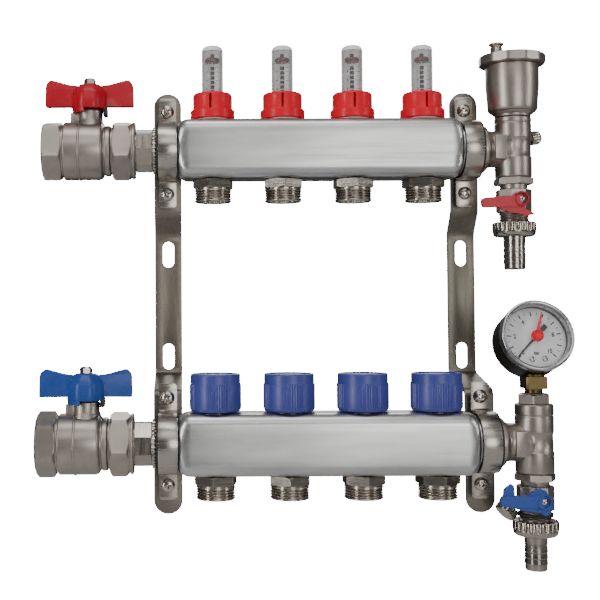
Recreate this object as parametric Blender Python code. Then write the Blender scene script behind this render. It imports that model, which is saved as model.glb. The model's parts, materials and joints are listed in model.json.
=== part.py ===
"""Underfloor heating manifold with four loops, hung on two cranked wall brackets.

The frame: X runs along the bars and is zero midway between the loop ports, Y points to the wall
and is zero on its surface, and Z is up and is zero midway between the bars.
Lengths are in millimetres, and add_object turns them into metres.
"""

import math

import bmesh
import bpy
from mathutils import Matrix, Vector

MM = 0.001
GAP = 0.3  # between solids that touch

# Layout
PORT_PITCH = 50.0
PORT_COUNT = 4
BAR_SPACING = 204.0
FLOW_Y, RETURN_Y = -34.0, -66.0
FLOW_Z, RETURN_Z = BAR_SPACING / 2, -BAR_SPACING / 2
PORTS_X = [PORT_PITCH * (i - (PORT_COUNT - 1) / 2) for i in range(PORT_COUNT)]

# Bars
BAR_HALF_LENGTH, BAR_HALF_HEIGHT, BAR_HALF_DEPTH, BAR_CORNER = 100.5, 21.0, 19.0, 8.0
BAR_WALL = 1.5
NECK_RADIUS, NECK_END = 16.8, 114.5
SPIGOT = 14.4  # radius of what screws into a neck
PORT_HOLE = 10.0

# Brackets and clamps
PLATE_WIDTH, PLATE_THICK = 20.0, 2.5
BRACKET_X = {"left": -107.5, "right": 109.5}
BRACKET_ABOVE, BRACKET_BELOW = 45.2, 51.5  # past the flow and the return axis
PLATE_FRONT = 19.5  # from a bar's axis back to the front of the plate behind it
SLOT_WIDTH, SLOT_LENGTH = 8.3, 19.0
SLOTS_BELOW_FLOW = (72.5, 148.0)
STRAP_WIDTH, STRAP_THICK, STRAP_RADIUS = 12.5, 1.5, 20.1
STRAP_X = {"left": -107.5, "right": 107.5}
TAB_BACK, TAB_REACH, CLAMP_SCREW = 11.75, 40.0, 30.0

# Loop ports, flow meters and return caps, measured from the bar's axis
THREAD_34 = 13.2  # radius of the G3/4 thread on the ports
COLLAR_RADIUS, COLLAR_TOP = 15.8, 38.9
TUBE_RADIUS, TUBE_BORE, TUBE_TOP = 7.7, 6.6, 75.5
CAP_RADIUS, CAP_TOP = 17.6, 45.5

# Ball valves, to the left of the bars
VALVE_X, VALVE_INLET = -162.8, -196.0
SOCKET = 15.2  # radius of the G1 socket that takes the supply pipe
BALL_RADIUS, VALVE_BORE, STEM_RADIUS = 14.5, 10.0, 3.7
HANDLE_BOTTOM, HANDLE_TOP, WING_REACH = 31.5, 48.4, 31.5

# End tees, air vent, drains and gauge, to the right of the bars
TEE_X = {"flow": 139.5, "return": 141.0}
TEE_RADIUS, TEE_BORE = 12.8, 7.0
VENT_RADIUS, VENT_TOP = 18.5, 67.8
DRAIN_PIVOT = 37.3  # below the tee's branch
BUSH_TOP = 33.0  # top of the reducing bush over the return tee
GAUGE_RADIUS, GAUGE_DEPTH, GAUGE_ABOVE = 24.7, 25.0, 69.2
GAUGE_LEAN, DIAL_ROLL = 17.0, 2.5  # back from upright, and anticlockwise

COARSE, MEDIUM, HEXAGONAL, FINE = 12, 16, 18, 24  # sides of round shapes

METALS = {
    "stainless": ((0.62, 0.62, 0.60), 0.3),
    "bracket_steel": ((0.45, 0.43, 0.40), 0.3),
    "nickel": ((0.50, 0.47, 0.43), 0.35),
    "brass": ((0.48, 0.36, 0.20), 0.35),
}
PLASTICS = {
    "red_plastic": ((0.60, 0.03, 0.03), 0.3),
    "blue_plastic": ((0.06, 0.10, 0.42), 0.35),
    "blue_handle": ((0.03, 0.13, 0.45), 0.35),
    "clear_tube": ((0.75, 0.78, 0.80), 0.1),
    "float_red": ((0.45, 0.05, 0.04), 0.4),
    "black_plastic": ((0.02, 0.02, 0.02), 0.4),
    "gauge_case": ((0.10, 0.10, 0.10), 0.35),
}


def clear_scene():
    for obj in list(bpy.data.objects):
        bpy.data.objects.remove(obj, do_unlink=True)


def make_materials():
    made = {}
    for table, metallic in ((METALS, 1.0), (PLASTICS, 0.0)):
        for name, (colour, roughness) in table.items():
            material = bpy.data.materials.new(name)
            material.use_nodes = True
            shader = material.node_tree.nodes["Principled BSDF"]
            shader.inputs["Base Color"].default_value = (*colour, 1.0)
            shader.inputs["Metallic"].default_value = metallic
            shader.inputs["Roughness"].default_value = roughness
            made[name] = material
    return made


def add_object(name, vertices, faces, place=(0, 0, 0), turn=(0, 0, 0)):
    """An object from points in millimetres, placed in millimetres and turned in degrees."""
    mesh = bpy.data.meshes.new(name)
    mesh.from_pydata([Vector(v) * MM for v in vertices], [], faces)
    work = bmesh.new()
    work.from_mesh(mesh)
    bmesh.ops.remove_doubles(work, verts=work.verts, dist=1e-6)
    bmesh.ops.recalc_face_normals(work, faces=work.faces)
    work.to_mesh(mesh)
    work.free()
    obj = bpy.data.objects.new(name, mesh)
    bpy.context.scene.collection.objects.link(obj)
    obj.location = Vector(place) * MM
    obj.rotation_euler = [math.radians(angle) for angle in turn]
    return obj


def ring_radius(radius, angle, sides):
    """The radius at an angle of a circle, or of a polygon with this many sides, to its corners."""
    if not sides:
        return radius
    half = math.pi / sides
    return radius * math.cos(half) / math.cos(angle % (2 * half) - half)


def turned(name, profile, steps=MEDIUM, turn=0.0, place=(0, 0, 0), rotate=(0, 0, 0), hollow=False):
    """A shape turned about its own Z. Each profile point is (radius, height) or (radius, height,
    sides of a polygon). A hollow shape's profile is a closed loop, and any other ends at radius 0."""
    vertices, rings, faces = [], [], []
    for radius, height, *sides in profile:
        if radius == 0:
            rings.append([len(vertices)])
            vertices.append((0, 0, height))
            continue
        rings.append(list(range(len(vertices), len(vertices) + steps)))
        for k in range(steps):
            angle = 2 * math.pi * k / steps
            reach = ring_radius(radius, angle, sides[0] if sides else 0)
            angle += math.radians(turn)
            vertices.append((reach * math.cos(angle), reach * math.sin(angle), height))
    pairs = list(zip(rings, rings[1:]))
    if hollow:
        pairs.append((rings[-1], rings[0]))
    for low, high in pairs:
        if len(low) + len(high) == 2:
            continue
        for k in range(steps):
            n = (k + 1) % steps
            if len(low) == 1:
                faces.append((low[0], high[k], high[n]))
            elif len(high) == 1:
                faces.append((low[k], low[n], high[0]))
            else:
                faces.append((low[k], low[n], high[n], high[k]))
    return add_object(name, vertices, faces, place, rotate)


def plate(name, outline, low, high, place=(0, 0, 0), rotate=(0, 0, 0)):
    """An outline in X and Z, made thick along Y from low to high."""
    count = len(outline)
    vertices = [(x, y, z) for y in (low, high) for x, z in outline]
    faces = [tuple(range(count)), tuple(range(2 * count - 1, count - 1, -1))]
    faces += [(k, (k + 1) % count, count + (k + 1) % count, count + k) for k in range(count)]
    return add_object(name, vertices, faces, place, rotate)


def ribbon(name, path, widths, thickness, place=(0, 0, 0)):
    """A strip of metal bent along a path in Y and Z, its width along X changing along the path."""
    points = [Vector(p) for p in path]
    vertices, faces = [], []
    for k, point in enumerate(points):
        before = (point - points[k - 1]).normalized() if k else None
        after = (points[k + 1] - point).normalized() if k + 1 < len(points) else None
        along = ((before or after) + (after or before)).normalized()
        normal = Vector((-along.y, along.x))
        offset = normal * (thickness / 2 / max(0.5, along.dot(before or after)))
        for side, edge in ((-1, 1), (1, 1), (1, -1), (-1, -1)):
            y, z = point + offset * edge
            vertices.append((side * widths[k] / 2, y, z))
    for k in range(len(points) - 1):
        for j in range(4):
            n = (j + 1) % 4
            faces.append((4 * k + j, 4 * k + n, 4 * k + 4 + n, 4 * k + 4 + j))
    last = 4 * (len(points) - 1)
    faces += [(0, 1, 2, 3), (last + 3, last + 2, last + 1, last)]
    return add_object(name, vertices, faces, place)


def rod(name, radius, start, end, steps=COARSE):
    """A plain round rod between two points."""
    start, end = Vector(start), Vector(end)
    obj = turned(name, [(0, 0), (radius, 0), (radius, (end - start).length), (0, (end - start).length)],
                 steps=steps)
    obj.matrix_world = (Matrix.Translation(start * MM)
                        @ (end - start).to_track_quat("Z", "Y").to_matrix().to_4x4())
    return obj


def rod_along_y(name, radius, x, low, high, z):
    """A small rod along Y, as a screw hole is."""
    return rod(name, radius, (x, low, z), (x, high, z), steps=8)


def combine(base, others, operation):
    """Joins the others to the base, or cuts them from it, and removes them."""
    for other in others:
        modifier = base.modifiers.new("join", "BOOLEAN")
        modifier.operation = operation
        modifier.object = other
    bpy.context.view_layer.update()
    evaluated = base.evaluated_get(bpy.context.evaluated_depsgraph_get())
    mesh = bpy.data.meshes.new_from_object(evaluated)
    base.modifiers.clear()
    base.data = mesh
    for other in others:
        bpy.data.objects.remove(other, do_unlink=True)
    return base


def finish(obj, material, smooth=35):
    obj.data.name = obj.name
    obj.data.materials.clear()
    obj.data.materials.append(MATERIALS[material])
    obj.data.shade_smooth()
    obj.data.set_sharp_from_angle(angle=math.radians(smooth))
    return obj


def move_origin(obj, place):
    """Puts the object's origin at a place, without moving its shape."""
    shift = Vector(place) * MM - obj.location
    obj.data.transform(Matrix.Translation(-shift))
    obj.location = obj.location + shift


def axis_place(line, x=0.0, z=0.0):
    """A point at this X, on or above the axis of the flow bar or the return bar."""
    return (x, FLOW_Y, FLOW_Z + z) if line == "flow" else (x, RETURN_Y, RETURN_Z + z)


def bar_section(x, half_depth, half_height, corner):
    """Sixteen points round a rounded rectangle, which is a circle where the corner is its half size."""
    points = []
    for quarter, (sy, sz) in enumerate(((1, 1), (-1, 1), (-1, -1), (1, -1))):
        for k in range(4):
            angle = math.radians(90 * quarter + 30 * k)
            y = sy * (half_depth - corner) + corner * math.cos(angle)
            z = sz * (half_height - corner) + corner * math.sin(angle)
            points.append((x, y, z))
    return points


def loft(name, sections, place):
    """A closed loop of sections, each joined to the next and the last to the first."""
    count = len(sections[0])
    vertices = [point for section in sections for point in section]
    faces = []
    for s in range(len(sections)):
        t = (s + 1) % len(sections)
        for k in range(count):
            n = (k + 1) % count
            faces.append((s * count + k, s * count + n, t * count + n, t * count + k))
    return add_object(name, vertices, faces, place)


def make_bar(line):
    """The hollow bar with its two round necks. The return bar has a welded socket under each cap."""
    neck = NECK_RADIUS - 0.01  # a hair under the corner's full round keeps the section's corners apart
    inner = neck - BAR_WALL
    outside = [bar_section(-NECK_END, NECK_RADIUS, NECK_RADIUS, neck),
               bar_section(-BAR_HALF_LENGTH, NECK_RADIUS, NECK_RADIUS, neck),
               bar_section(0.8 - BAR_HALF_LENGTH, BAR_HALF_DEPTH - 2.2, BAR_HALF_HEIGHT - 3, 9),
               bar_section(3 - BAR_HALF_LENGTH, BAR_HALF_DEPTH - 0.7, BAR_HALF_HEIGHT - 1, 8.4),
               bar_section(8 - BAR_HALF_LENGTH, BAR_HALF_DEPTH, BAR_HALF_HEIGHT, BAR_CORNER)]
    inside = [bar_section(-NECK_END, inner + 0.01, inner + 0.01, inner),
              bar_section(3 - BAR_HALF_LENGTH, inner + 0.01, inner + 0.01, inner),
              bar_section(8 - BAR_HALF_LENGTH, BAR_HALF_DEPTH - BAR_WALL, BAR_HALF_HEIGHT - BAR_WALL,
                          BAR_CORNER - BAR_WALL)]

    def mirrored(sections):
        return [[(-x, y, z) for x, y, z in section] for section in reversed(sections)]

    rings = outside + mirrored(outside) + list(reversed(inside + mirrored(inside)))
    bar = loft(f"{line}_bar", rings, axis_place(line))

    def uprights(radius, low, high):
        return [rod("upright", radius, axis_place(line, x, low), axis_place(line, x, high)) for x in PORTS_X]

    if line == "return":
        combine(bar, uprights(12.3, 20.2, 31), "UNION")
    combine(bar, uprights(PORT_HOLE, -24, 34), "DIFFERENCE")
    return finish(bar, "stainless")


def make_bracket(side):
    """A steel strip cranked off the wall behind each bar, with two slots for the wall screws."""
    x = BRACKET_X[side]
    upper = FLOW_Y + PLATE_FRONT + PLATE_THICK / 2
    lower = RETURN_Y + PLATE_FRONT + PLATE_THICK / 2
    wall = -PLATE_THICK / 2
    top, bottom, half = FLOW_Z + BRACKET_ABOVE, RETURN_Z - BRACKET_BELOW, PLATE_WIDTH / 2
    path, widths = [], []
    for angle in (15, 35, 55, 75):
        path.append((upper, top - half * (1 - math.cos(math.radians(angle)))))
        widths.append(2 * half * math.sin(math.radians(angle)))
    bends = [(upper, top - half), (upper, FLOW_Z - 42.5), (wall, FLOW_Z - 57.6),
             (wall, RETURN_Z + 43), (lower, RETURN_Z + 33), (lower, bottom + half)]
    path += bends
    widths += [PLATE_WIDTH] * len(bends)
    for angle in (75, 55, 35, 15):
        path.append((lower, bottom + half * (1 - math.cos(math.radians(angle)))))
        widths.append(2 * half * math.sin(math.radians(angle)))
    bracket = ribbon(f"bracket_{side}", path, widths, PLATE_THICK, (x, 0, 0))
    cutters = []
    for below in SLOTS_BELOW_FLOW:
        outline = []
        for end, middle in ((1, 90), (-1, 270)):
            for k in range(7):
                angle = math.radians(middle - 90 + 30 * k)
                outline.append((SLOT_WIDTH / 2 * math.cos(angle),
                                end * (SLOT_LENGTH - SLOT_WIDTH) / 2 + SLOT_WIDTH / 2 * math.sin(angle)))
        cutters.append(plate("slot", outline, -6, 3, (x, 0, FLOW_Z - below)))
    for y, z in ((upper, FLOW_Z), (lower, RETURN_Z)):
        for end in (-CLAMP_SCREW, CLAMP_SCREW):
            cutters.append(rod_along_y("screw_hole", 2.2, STRAP_X[side], y - 3, y + 3, z + end))
    combine(bracket, cutters, "DIFFERENCE")
    return finish(bracket, "bracket_steel")


def make_clamp(line, side):
    """An omega strap over a bar's neck, with a tab above and below that its screws pull to the plate."""
    x = STRAP_X[side]
    arc = [math.radians(90 - 18 * k) for k in range(11)]
    path = [(TAB_BACK, TAB_REACH), (TAB_BACK, STRAP_RADIUS + 0.9), (TAB_BACK - 0.9, STRAP_RADIUS)]
    path += [(-STRAP_RADIUS * math.cos(a), STRAP_RADIUS * math.sin(a)) for a in arc]
    path += [(TAB_BACK - 0.9, -STRAP_RADIUS), (TAB_BACK, -STRAP_RADIUS - 0.9), (TAB_BACK, -TAB_REACH)]
    clamp = ribbon(f"{line}_clamp_{side}", path, [STRAP_WIDTH] * len(path), STRAP_THICK, axis_place(line, x))
    _, y, z = axis_place(line)
    tab = y + TAB_BACK
    combine(clamp, [rod_along_y("screw_hole", 2.7, x, tab - 3, tab + 3, z + end)
                    for end in (-CLAMP_SCREW, CLAMP_SCREW)], "DIFFERENCE")
    return finish(clamp, "nickel")


def make_port(line, number):
    """The threaded nipple under a bar for one loop's pipe, with its shank in the bar's lower hole."""
    bottom = -BAR_HALF_HEIGHT - GAP
    shank, bore = PORT_HOLE - 0.4, 8.0
    profile = [(bore, bottom + 4), (shank, bottom + 4), (shank, bottom), (15.25, bottom, 6),
               (15.25, -27.5, 6), (THREAD_34, -27.5), (THREAD_34, -36.6), (12.4, -37.4), (bore, -37.4)]
    port = turned(f"{line}_port_{number + 1}", profile, COARSE, place=axis_place(line, PORTS_X[number]),
                  hollow=True)
    return finish(port, "nickel", smooth=40)


def make_flow_meter(number):
    """The red regulating collar, the clear sight tube and the float of one loop's flow meter."""
    x = PORTS_X[number]
    top = BAR_HALF_HEIGHT + GAP
    shank = PORT_HOLE - 0.4
    collar = turned(f"flow_meter_collar_{number + 1}",
                    [(11.6, top + 0.3), (COLLAR_RADIUS, top + 0.3), (COLLAR_RADIUS, 28.7), (14.1, 28.7),
                     (14.1, COLLAR_TOP - 1), (13.3, COLLAR_TOP), (TUBE_RADIUS + 0.4, COLLAR_TOP),
                     (TUBE_RADIUS + 0.4, 24.4), (11.6, 24.4)],
                    MEDIUM, place=axis_place("flow", x), hollow=True)
    tube = turned(f"sight_tube_{number + 1}",
                  [(TUBE_BORE, 16.5), (shank, 16.5), (shank, top), (11.2, top), (11.2, 24), (TUBE_RADIUS, 24),
                   (TUBE_RADIUS, TUBE_TOP - 3), (5.4, TUBE_TOP), (0, TUBE_TOP), (0, TUBE_TOP - 2),
                   (4.4, TUBE_TOP - 2), (TUBE_BORE, TUBE_TOP - 4)],
                  COARSE, place=axis_place("flow", x), hollow=True)
    weight = turned(f"flow_float_{number + 1}",
                    [(0, 25), (1.5, 25), (1.5, 63.2), (5.2, 63.2), (5.2, 66.2), (1.2, 66.2), (1.2, 69.2),
                     (0, 69.2)], COARSE, place=axis_place("flow", x))
    finish(collar, "red_plastic")
    finish(tube, "clear_tube")
    finish(weight, "float_red")


def make_return_cap(number):
    """A blue hand cap with the spindle and disc that it screws down onto the port."""
    low = BAR_HALF_HEIGHT + 0.6
    profile = [(0, 41.4), (3, 41.4), (3, -12), (8.6, -12), (8.6, -15), (0, -15)]
    spindle = turned("spindle", profile, COARSE, place=axis_place("return", PORTS_X[number]))
    cap = turned(f"return_cap_{number + 1}",
                 [(0, 43.6), (13.2, 43.6), (13.2, CAP_TOP - 0.6), (15.6, CAP_TOP), (16.9, CAP_TOP - 1),
                  (16.9, 39.6), (CAP_RADIUS, 39.6), (CAP_RADIUS, low + 1.4), (16.4, low), (13, low), (13, 40),
                  (0, 40)], MEDIUM, place=axis_place("return", PORTS_X[number]))
    combine(cap, [spindle], "UNION")
    return finish(cap, "blue_plastic")


def make_ball_valve(line):
    """A ball valve with its union: body, ball and stem, butterfly handle, union nut and tail piece."""
    along_x = {"place": axis_place(line), "rotate": (0, 90, 0)}
    neck_end = -146.6
    body = turned(f"{line}_valve_body",
                  [(SOCKET, VALVE_INLET), (19, VALVE_INLET), (22.4, VALVE_INLET + 1.8, 6), (22.4, -182.5, 6),
                   (20.75, -181.3), (20.75, -152.6), (18.25, neck_end - 1.5), (18.25, neck_end),
                   (17, neck_end), (17, -140), (VALVE_BORE, -140), (VALVE_BORE, -148.5), (16, -152),
                   (16, -173.6), (VALVE_BORE, -177), (VALVE_BORE, -181), (SOCKET, -181)],
                  HEXAGONAL, hollow=True, **along_x)
    x, y, z = axis_place(line, VALVE_X)
    bonnet = turned("bonnet", [(0, 17.5), (9.5, 17.5), (9.5, 28.6), (0, 28.6)], COARSE, place=(x, y, z))
    stop = plate("stop", [(-13, 17.5), (-7, 17.5), (-7, 26), (-13, 26)], -4, 4, (x, y, z))
    combine(body, [bonnet, stop], "UNION")
    combine(body, [rod("stem_hole", STEM_RADIUS + 0.4, (x, y, z), (x, y, z + 40))], "DIFFERENCE")
    finish(body, "nickel")

    latitudes = [math.radians(-90 + 22.5 * k) for k in range(1, 8)]
    sphere = [(BALL_RADIUS * math.cos(a), BALL_RADIUS * math.sin(a)) for a in latitudes]
    ball = turned(f"{line}_valve_ball", [(0, -BALL_RADIUS), *sphere, (0, BALL_RADIUS)], MEDIUM,
                  place=(x, y, z))
    stem = turned("stem", [(0, 10), (STEM_RADIUS, 10), (STEM_RADIUS, 52), (0, 52)], COARSE, place=(x, y, z))
    combine(ball, [stem], "UNION")
    combine(ball, [rod("ball_bore", VALVE_BORE - 1, (x - 20, y, z), (x + 20, y, z))], "DIFFERENCE")
    finish(ball, "nickel")

    wing = [(9, HANDLE_BOTTOM), (WING_REACH, HANDLE_BOTTOM), (WING_REACH, 47), (WING_REACH - 1.5, 50.2),
            (WING_REACH - 3, 50.8), (WING_REACH - 12, 47.5), (9, 45.5)]
    handle = turned(f"{line}_valve_handle",
                    [(STEM_RADIUS + 0.4, 29.4), (12.3, 29.4), (12.3, HANDLE_TOP - 4.5), (8.5, HANDLE_TOP),
                     (STEM_RADIUS + 0.4, HANDLE_TOP)], MEDIUM, place=(x, y, z), hollow=True)
    wings = [plate("wing", outline, -3.2, 3.2, (x, y, z))
             for outline in (wing, [(-a, b) for a, b in reversed(wing)])]
    tab = plate("tab", [(-13.4, 27.4), (-10.4, 27.4), (-10.4, 34), (-13.4, 34)], -5, 5, (x, y, z))
    combine(handle, wings + [tab], "UNION")
    finish(handle, "red_plastic" if line == "flow" else "blue_handle")

    nut_end = -129.3 - GAP
    nut = turned(f"{line}_union_nut",
                 [(17.4, -146.3), (20.0, -146.3, 6), (22.5, -143.8, 6), (22.5, -133.6, 6), (20.4, -131.6, 6),
                  (20, -131.6), (20, nut_end), (14.4, nut_end), (14.4, -136.2), (17.4, -136.2)],
                 HEXAGONAL, turn=41 if line == "flow" else 30, hollow=True, **along_x)
    finish(nut, "nickel")
    tail = turned(f"{line}_union_tail",
                  [(VALVE_BORE, -139.6), (16.8, -139.6), (16.8, -136.6), (14, -136.6), (14, -129.3),
                   (15.5, -129.3, 8), (15.5, -118, 8), (16.6, -118), (16.6, -NECK_END - GAP),
                   (SPIGOT, -NECK_END - GAP), (SPIGOT, -104), (VALVE_BORE, -104)],
                  MEDIUM, turn=0 if line == "flow" else 22.5, hollow=True, **along_x)
    finish(tail, "nickel")


def make_tee(line):
    """The end tee: a branch screwed into the bar's right neck and an upright barrel."""
    x, y, z = axis_place(line, TEE_X[line])
    top = 22.3 if line == "flow" else BUSH_TOP
    profile = [(0, -20.8), (12.4, -20.8), (TEE_RADIUS, -19.8), (TEE_RADIUS, -5), (12.2, -3), (12.2, 6),
               (TEE_RADIUS, 8), (TEE_RADIUS, 18)]
    if line == "flow":
        profile += [(TEE_RADIUS, top), (0, top)]
    else:
        profile += [(TEE_RADIUS, 26), (11.6, 26.2, 6), (11.6, top - 1.5, 6), (9.6, top, 6), (0, top)]
    tee = turned(f"{line}_end_tee", profile, MEDIUM, place=(x, y, z))
    branch = turned("branch",
                    [(0, 104), (SPIGOT, 104), (SPIGOT, NECK_END + GAP), (16.6, NECK_END + GAP), (16.6, 118.6),
                     (13.2, 121.5), (13.0, TEE_X[line] - 6), (10, TEE_X[line] - 2), (0, TEE_X[line])],
                    MEDIUM, place=(0, y, z), rotate=(0, 90, 0))
    flat = plate("flat", [(-16, -8), (-8, -8), (-8, 8), (-16, 8)], -13.4, 0, (x, y, z))
    combine(tee, [branch, flat], "UNION")
    cutters = [rod("passage", TEE_BORE, (x, y, z - 24), (x, y, z + 14)),
               rod("top_passage", 3.4, (x, y, z), (x, y, z + 40)),
               rod("branch_passage", TEE_BORE - 0.7, (100, y, z), (x + 2, y, z))]
    if line == "flow":
        cutters.append(rod("bleed_seat", 3.4, (x, y, z + 6), bleed_point(x, y, z, 20)))
    combine(tee, cutters, "DIFFERENCE")
    return finish(tee, "nickel")


def bleed_point(x, y, z, reach):
    """A point this far out from the tee's axis along the bleed screw, which points right and back."""
    return (x + reach * 0.94, y + reach * 0.30, z + 6 + reach * 0.16)


def make_bleed_key():
    """The small knurled bleed screw at the back right of the flow tee."""
    x, y, z = axis_place("flow", TEE_X["flow"])
    start, end = Vector(bleed_point(x, y, z, 0)), Vector(bleed_point(x, y, z, 1))
    key = turned("bleed_screw",
                 [(0, 9), (3, 9), (3, 14.2), (4.6, 14.2, 8), (4.6, 20.4, 8), (3.6, 21.6), (0, 21.6)], MEDIUM)
    key.location = start * MM
    key.rotation_euler = (end - start).to_track_quat("Z", "Y").to_euler()
    return finish(key, "nickel")


def make_air_vent():
    """The automatic air vent: housing with its screwed lid, dust cap and the float inside."""
    x, y, z = axis_place("flow", TEE_X["flow"])
    r = VENT_RADIUS
    place = (x, y, z)
    cup = turned("air_vent_housing",
                 [(3.4, 22.3 + GAP), (12, 22.3 + GAP), (12.6, 25), (16.5, 27.5), (17.2, 30), (r, 59.5),
                  (22.4, 59.7, 12), (23.2, 61, 12), (23.2, 65.5, 12), (20.5, VENT_TOP), (0, VENT_TOP),
                  (0, 62), (15.8, 62), (15.8, 30.5), (3.4, 30.5)],
                 FINE, place=place, hollow=True)
    offset = x - 10.9
    combine(cup, [rod("vent_neck", 3, (offset, y, z + 64), (offset, y, z + 73))], "UNION")
    combine(cup, [rod("vent_bore", 1.2, (offset, y, z + 58), (offset, y, z + 80), steps=8)], "DIFFERENCE")
    finish(cup, "nickel")
    cap = turned("air_vent_dust_cap",
                 [(3.4, VENT_TOP + 0.5), (4, VENT_TOP + 0.5), (4, 74.3), (5.25, 74.6), (5.25, 76.1),
                  (4.6, 76.6), (0, 76.6), (0, 73.5), (3.4, 73.5)], COARSE, place=(offset, y, z), hollow=True)
    finish(cap, "nickel")
    weight = turned("air_vent_float", [(0, 31), (14, 31), (14, 48), (2, 50), (0, 50)], MEDIUM, place=place)
    finish(weight, "black_plastic")


def make_drain(line):
    """The drain valve under a tee: body, quarter-turn lever, knurled hose nut and hose tail."""
    x, y, z = axis_place(line, TEE_X[line])
    place, top = (x, y, z), -20.8 - GAP
    body = turned(f"{line}_drain_body",
                  [(4, top), (14.1, top, 6), (14.1, -25.6, 6), (9.5, -25.8), (9.5, -29.4), (12.45, -29.4, 8),
                   (12.45, -45.3, 8), (10.5, -45.3), (10.5, -57), (4, -57)],
                  FINE, turn=30 if line == "flow" else 0, place=place, hollow=True)
    pivot = z - DRAIN_PIVOT
    combine(body, [rod("boss", 5.2, (x, y - 9, pivot), (x, y - 14, pivot))], "UNION")
    combine(body, [rod("spindle_hole", 3.2, (x, y, pivot), (x, y - 20, pivot))], "DIFFERENCE")
    finish(body, "nickel")

    arm = [(3.5, -4.6), (5.4, -7.5), (9.9, -10.9), (3.5, -12), (-6, -9.5), (-15.7, -6), (-26.4, -5.2),
           (-28.2, -3.5), (-28.2, 0.4), (-26, 2), (-9, 3.4), (-3, 5.25), (3, 4.8), (5.2, 2)]
    lever = plate(f"{line}_drain_lever", arm, -18.8, -14.3, (x, y, pivot))
    combine(lever, [rod("spindle", 2.8, (x, y - 5, pivot), (x, y - 16, pivot))], "UNION")
    move_origin(lever, (x, y, pivot))
    finish(lever, "red_plastic" if line == "flow" else "blue_handle")

    nut = turned(f"{line}_hose_nut",
                 [(10.9, -52.3), (15.15, -52.3), (15.15, -61), (13.6, -62.6), (8.6, -62.6), (8.6, -60.2),
                  (10.9, -60.2)], MEDIUM, place=place, hollow=True)
    finish(nut, "nickel")
    barbs = [point for low in (-70.5, -75.5, -80.5) for point in ((7, low + 3), (8.05, low))]
    tail = turned(f"{line}_hose_tail",
                  [(4.6, -57.4), (10.4, -57.4), (10.4, -59.8), (8.2, -59.8), (8.2, -66)] + barbs
                  + [(6.8, -86), (4.6, -86)], COARSE, place=place, hollow=True)
    finish(tail, "nickel")


def make_gauge():
    """The pressure gauge: a brass socket, and a case that leans back, with its two hands."""
    x, y, z = axis_place("return", TEE_X["return"])
    socket = turned("gauge_socket",
                    [(2, BUSH_TOP + GAP), (5.9, BUSH_TOP + GAP), (5.9, 35.9), (10.2, 35.9, 4),
                     (10.2, 40.4, 4), (6, 40.4), (6, 41.2),
                     (2, 41.2)], MEDIUM, turn=45, place=(x, y, z), hollow=True)
    finish(socket, "brass")
    r, deep = GAUGE_RADIUS, GAUGE_DEPTH
    centre, lean = (x, y, z + GAUGE_ABOVE), (90 - GAUGE_LEAN, 0, 0)
    case = turned("gauge_case",
                  [(0, -deep / 2), (r - 2, -deep / 2), (r - 0.5, 1.5 - deep / 2), (r - 0.5, 5), (r, 6),
                   (r, deep / 2 - 1.2), (r - 1.2, deep / 2), (21.4, deep / 2), (21.4, 3), (0, 3)],
                  FINE, place=centre, rotate=lean)
    finish(case, "gauge_case")

    def hand(name, material, low, outline, angle):
        """A flat hand just over the dial, its own Z along the dial's axis."""
        made = plate(name, outline, -low - 0.6, -low)
        made.data.transform(Matrix.Rotation(math.radians(-90), 4, "X"))
        made.data.transform(Matrix.Rotation(math.radians(angle), 4, "Z"))
        made.location = Vector(centre) * MM
        made.rotation_euler = [math.radians(a) for a in lean]
        return finish(made, material)

    pointer = [(-0.9, -6), (0.9, -6), (1.6, 0), (0.35, 17), (-0.35, 17), (-1.6, 0)]
    marker = [(-2.4, -2), (2.4, -2), (2.4, 1), (0.6, 18.5), (-0.6, 18.5), (-2.4, 1)]
    hand("gauge_pointer", "black_plastic", 4.6, pointer, 135 + DIAL_ROLL)
    hand("gauge_marker", "red_plastic", 10.4, marker, -18 + DIAL_ROLL)


clear_scene()
MATERIALS = make_materials()
for bar_line in ("flow", "return"):
    make_bar(bar_line)
    make_ball_valve(bar_line)
    make_tee(bar_line)
    make_drain(bar_line)
    for bar_side in ("left", "right"):
        make_clamp(bar_line, bar_side)
    for loop in range(PORT_COUNT):
        make_port(bar_line, loop)
for bar_side in ("left", "right"):
    make_bracket(bar_side)
for loop in range(PORT_COUNT):
    make_flow_meter(loop)
    make_return_cap(loop)
make_air_vent()
make_bleed_key()
make_gauge()
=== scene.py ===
"""The looks of the underfloor heating manifold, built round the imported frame.

Shapes are drawn in millimetres about a line's own axis or a piece's own axis, and placed from the frame.
"""

import json
import math
from typing import Callable, NamedTuple

import bmesh
import bpy
from mathutils import Matrix, Vector


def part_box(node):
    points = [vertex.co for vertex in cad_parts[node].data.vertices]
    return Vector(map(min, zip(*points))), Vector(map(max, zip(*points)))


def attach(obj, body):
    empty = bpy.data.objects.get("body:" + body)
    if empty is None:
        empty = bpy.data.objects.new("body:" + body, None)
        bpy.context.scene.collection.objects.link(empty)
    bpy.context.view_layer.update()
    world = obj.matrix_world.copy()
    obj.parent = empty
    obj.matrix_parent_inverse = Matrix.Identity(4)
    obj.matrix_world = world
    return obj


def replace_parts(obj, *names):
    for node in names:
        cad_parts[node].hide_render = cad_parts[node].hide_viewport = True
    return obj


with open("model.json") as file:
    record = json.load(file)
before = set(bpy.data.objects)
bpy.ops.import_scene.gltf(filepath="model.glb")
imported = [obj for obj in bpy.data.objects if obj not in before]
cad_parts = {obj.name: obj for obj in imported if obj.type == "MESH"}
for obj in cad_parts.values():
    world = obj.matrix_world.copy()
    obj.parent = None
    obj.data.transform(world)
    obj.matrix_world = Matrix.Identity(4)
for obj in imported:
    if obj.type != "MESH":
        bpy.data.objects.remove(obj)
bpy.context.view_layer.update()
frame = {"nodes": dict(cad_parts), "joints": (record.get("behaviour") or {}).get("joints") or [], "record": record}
RECORD = frame["record"]
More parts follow.
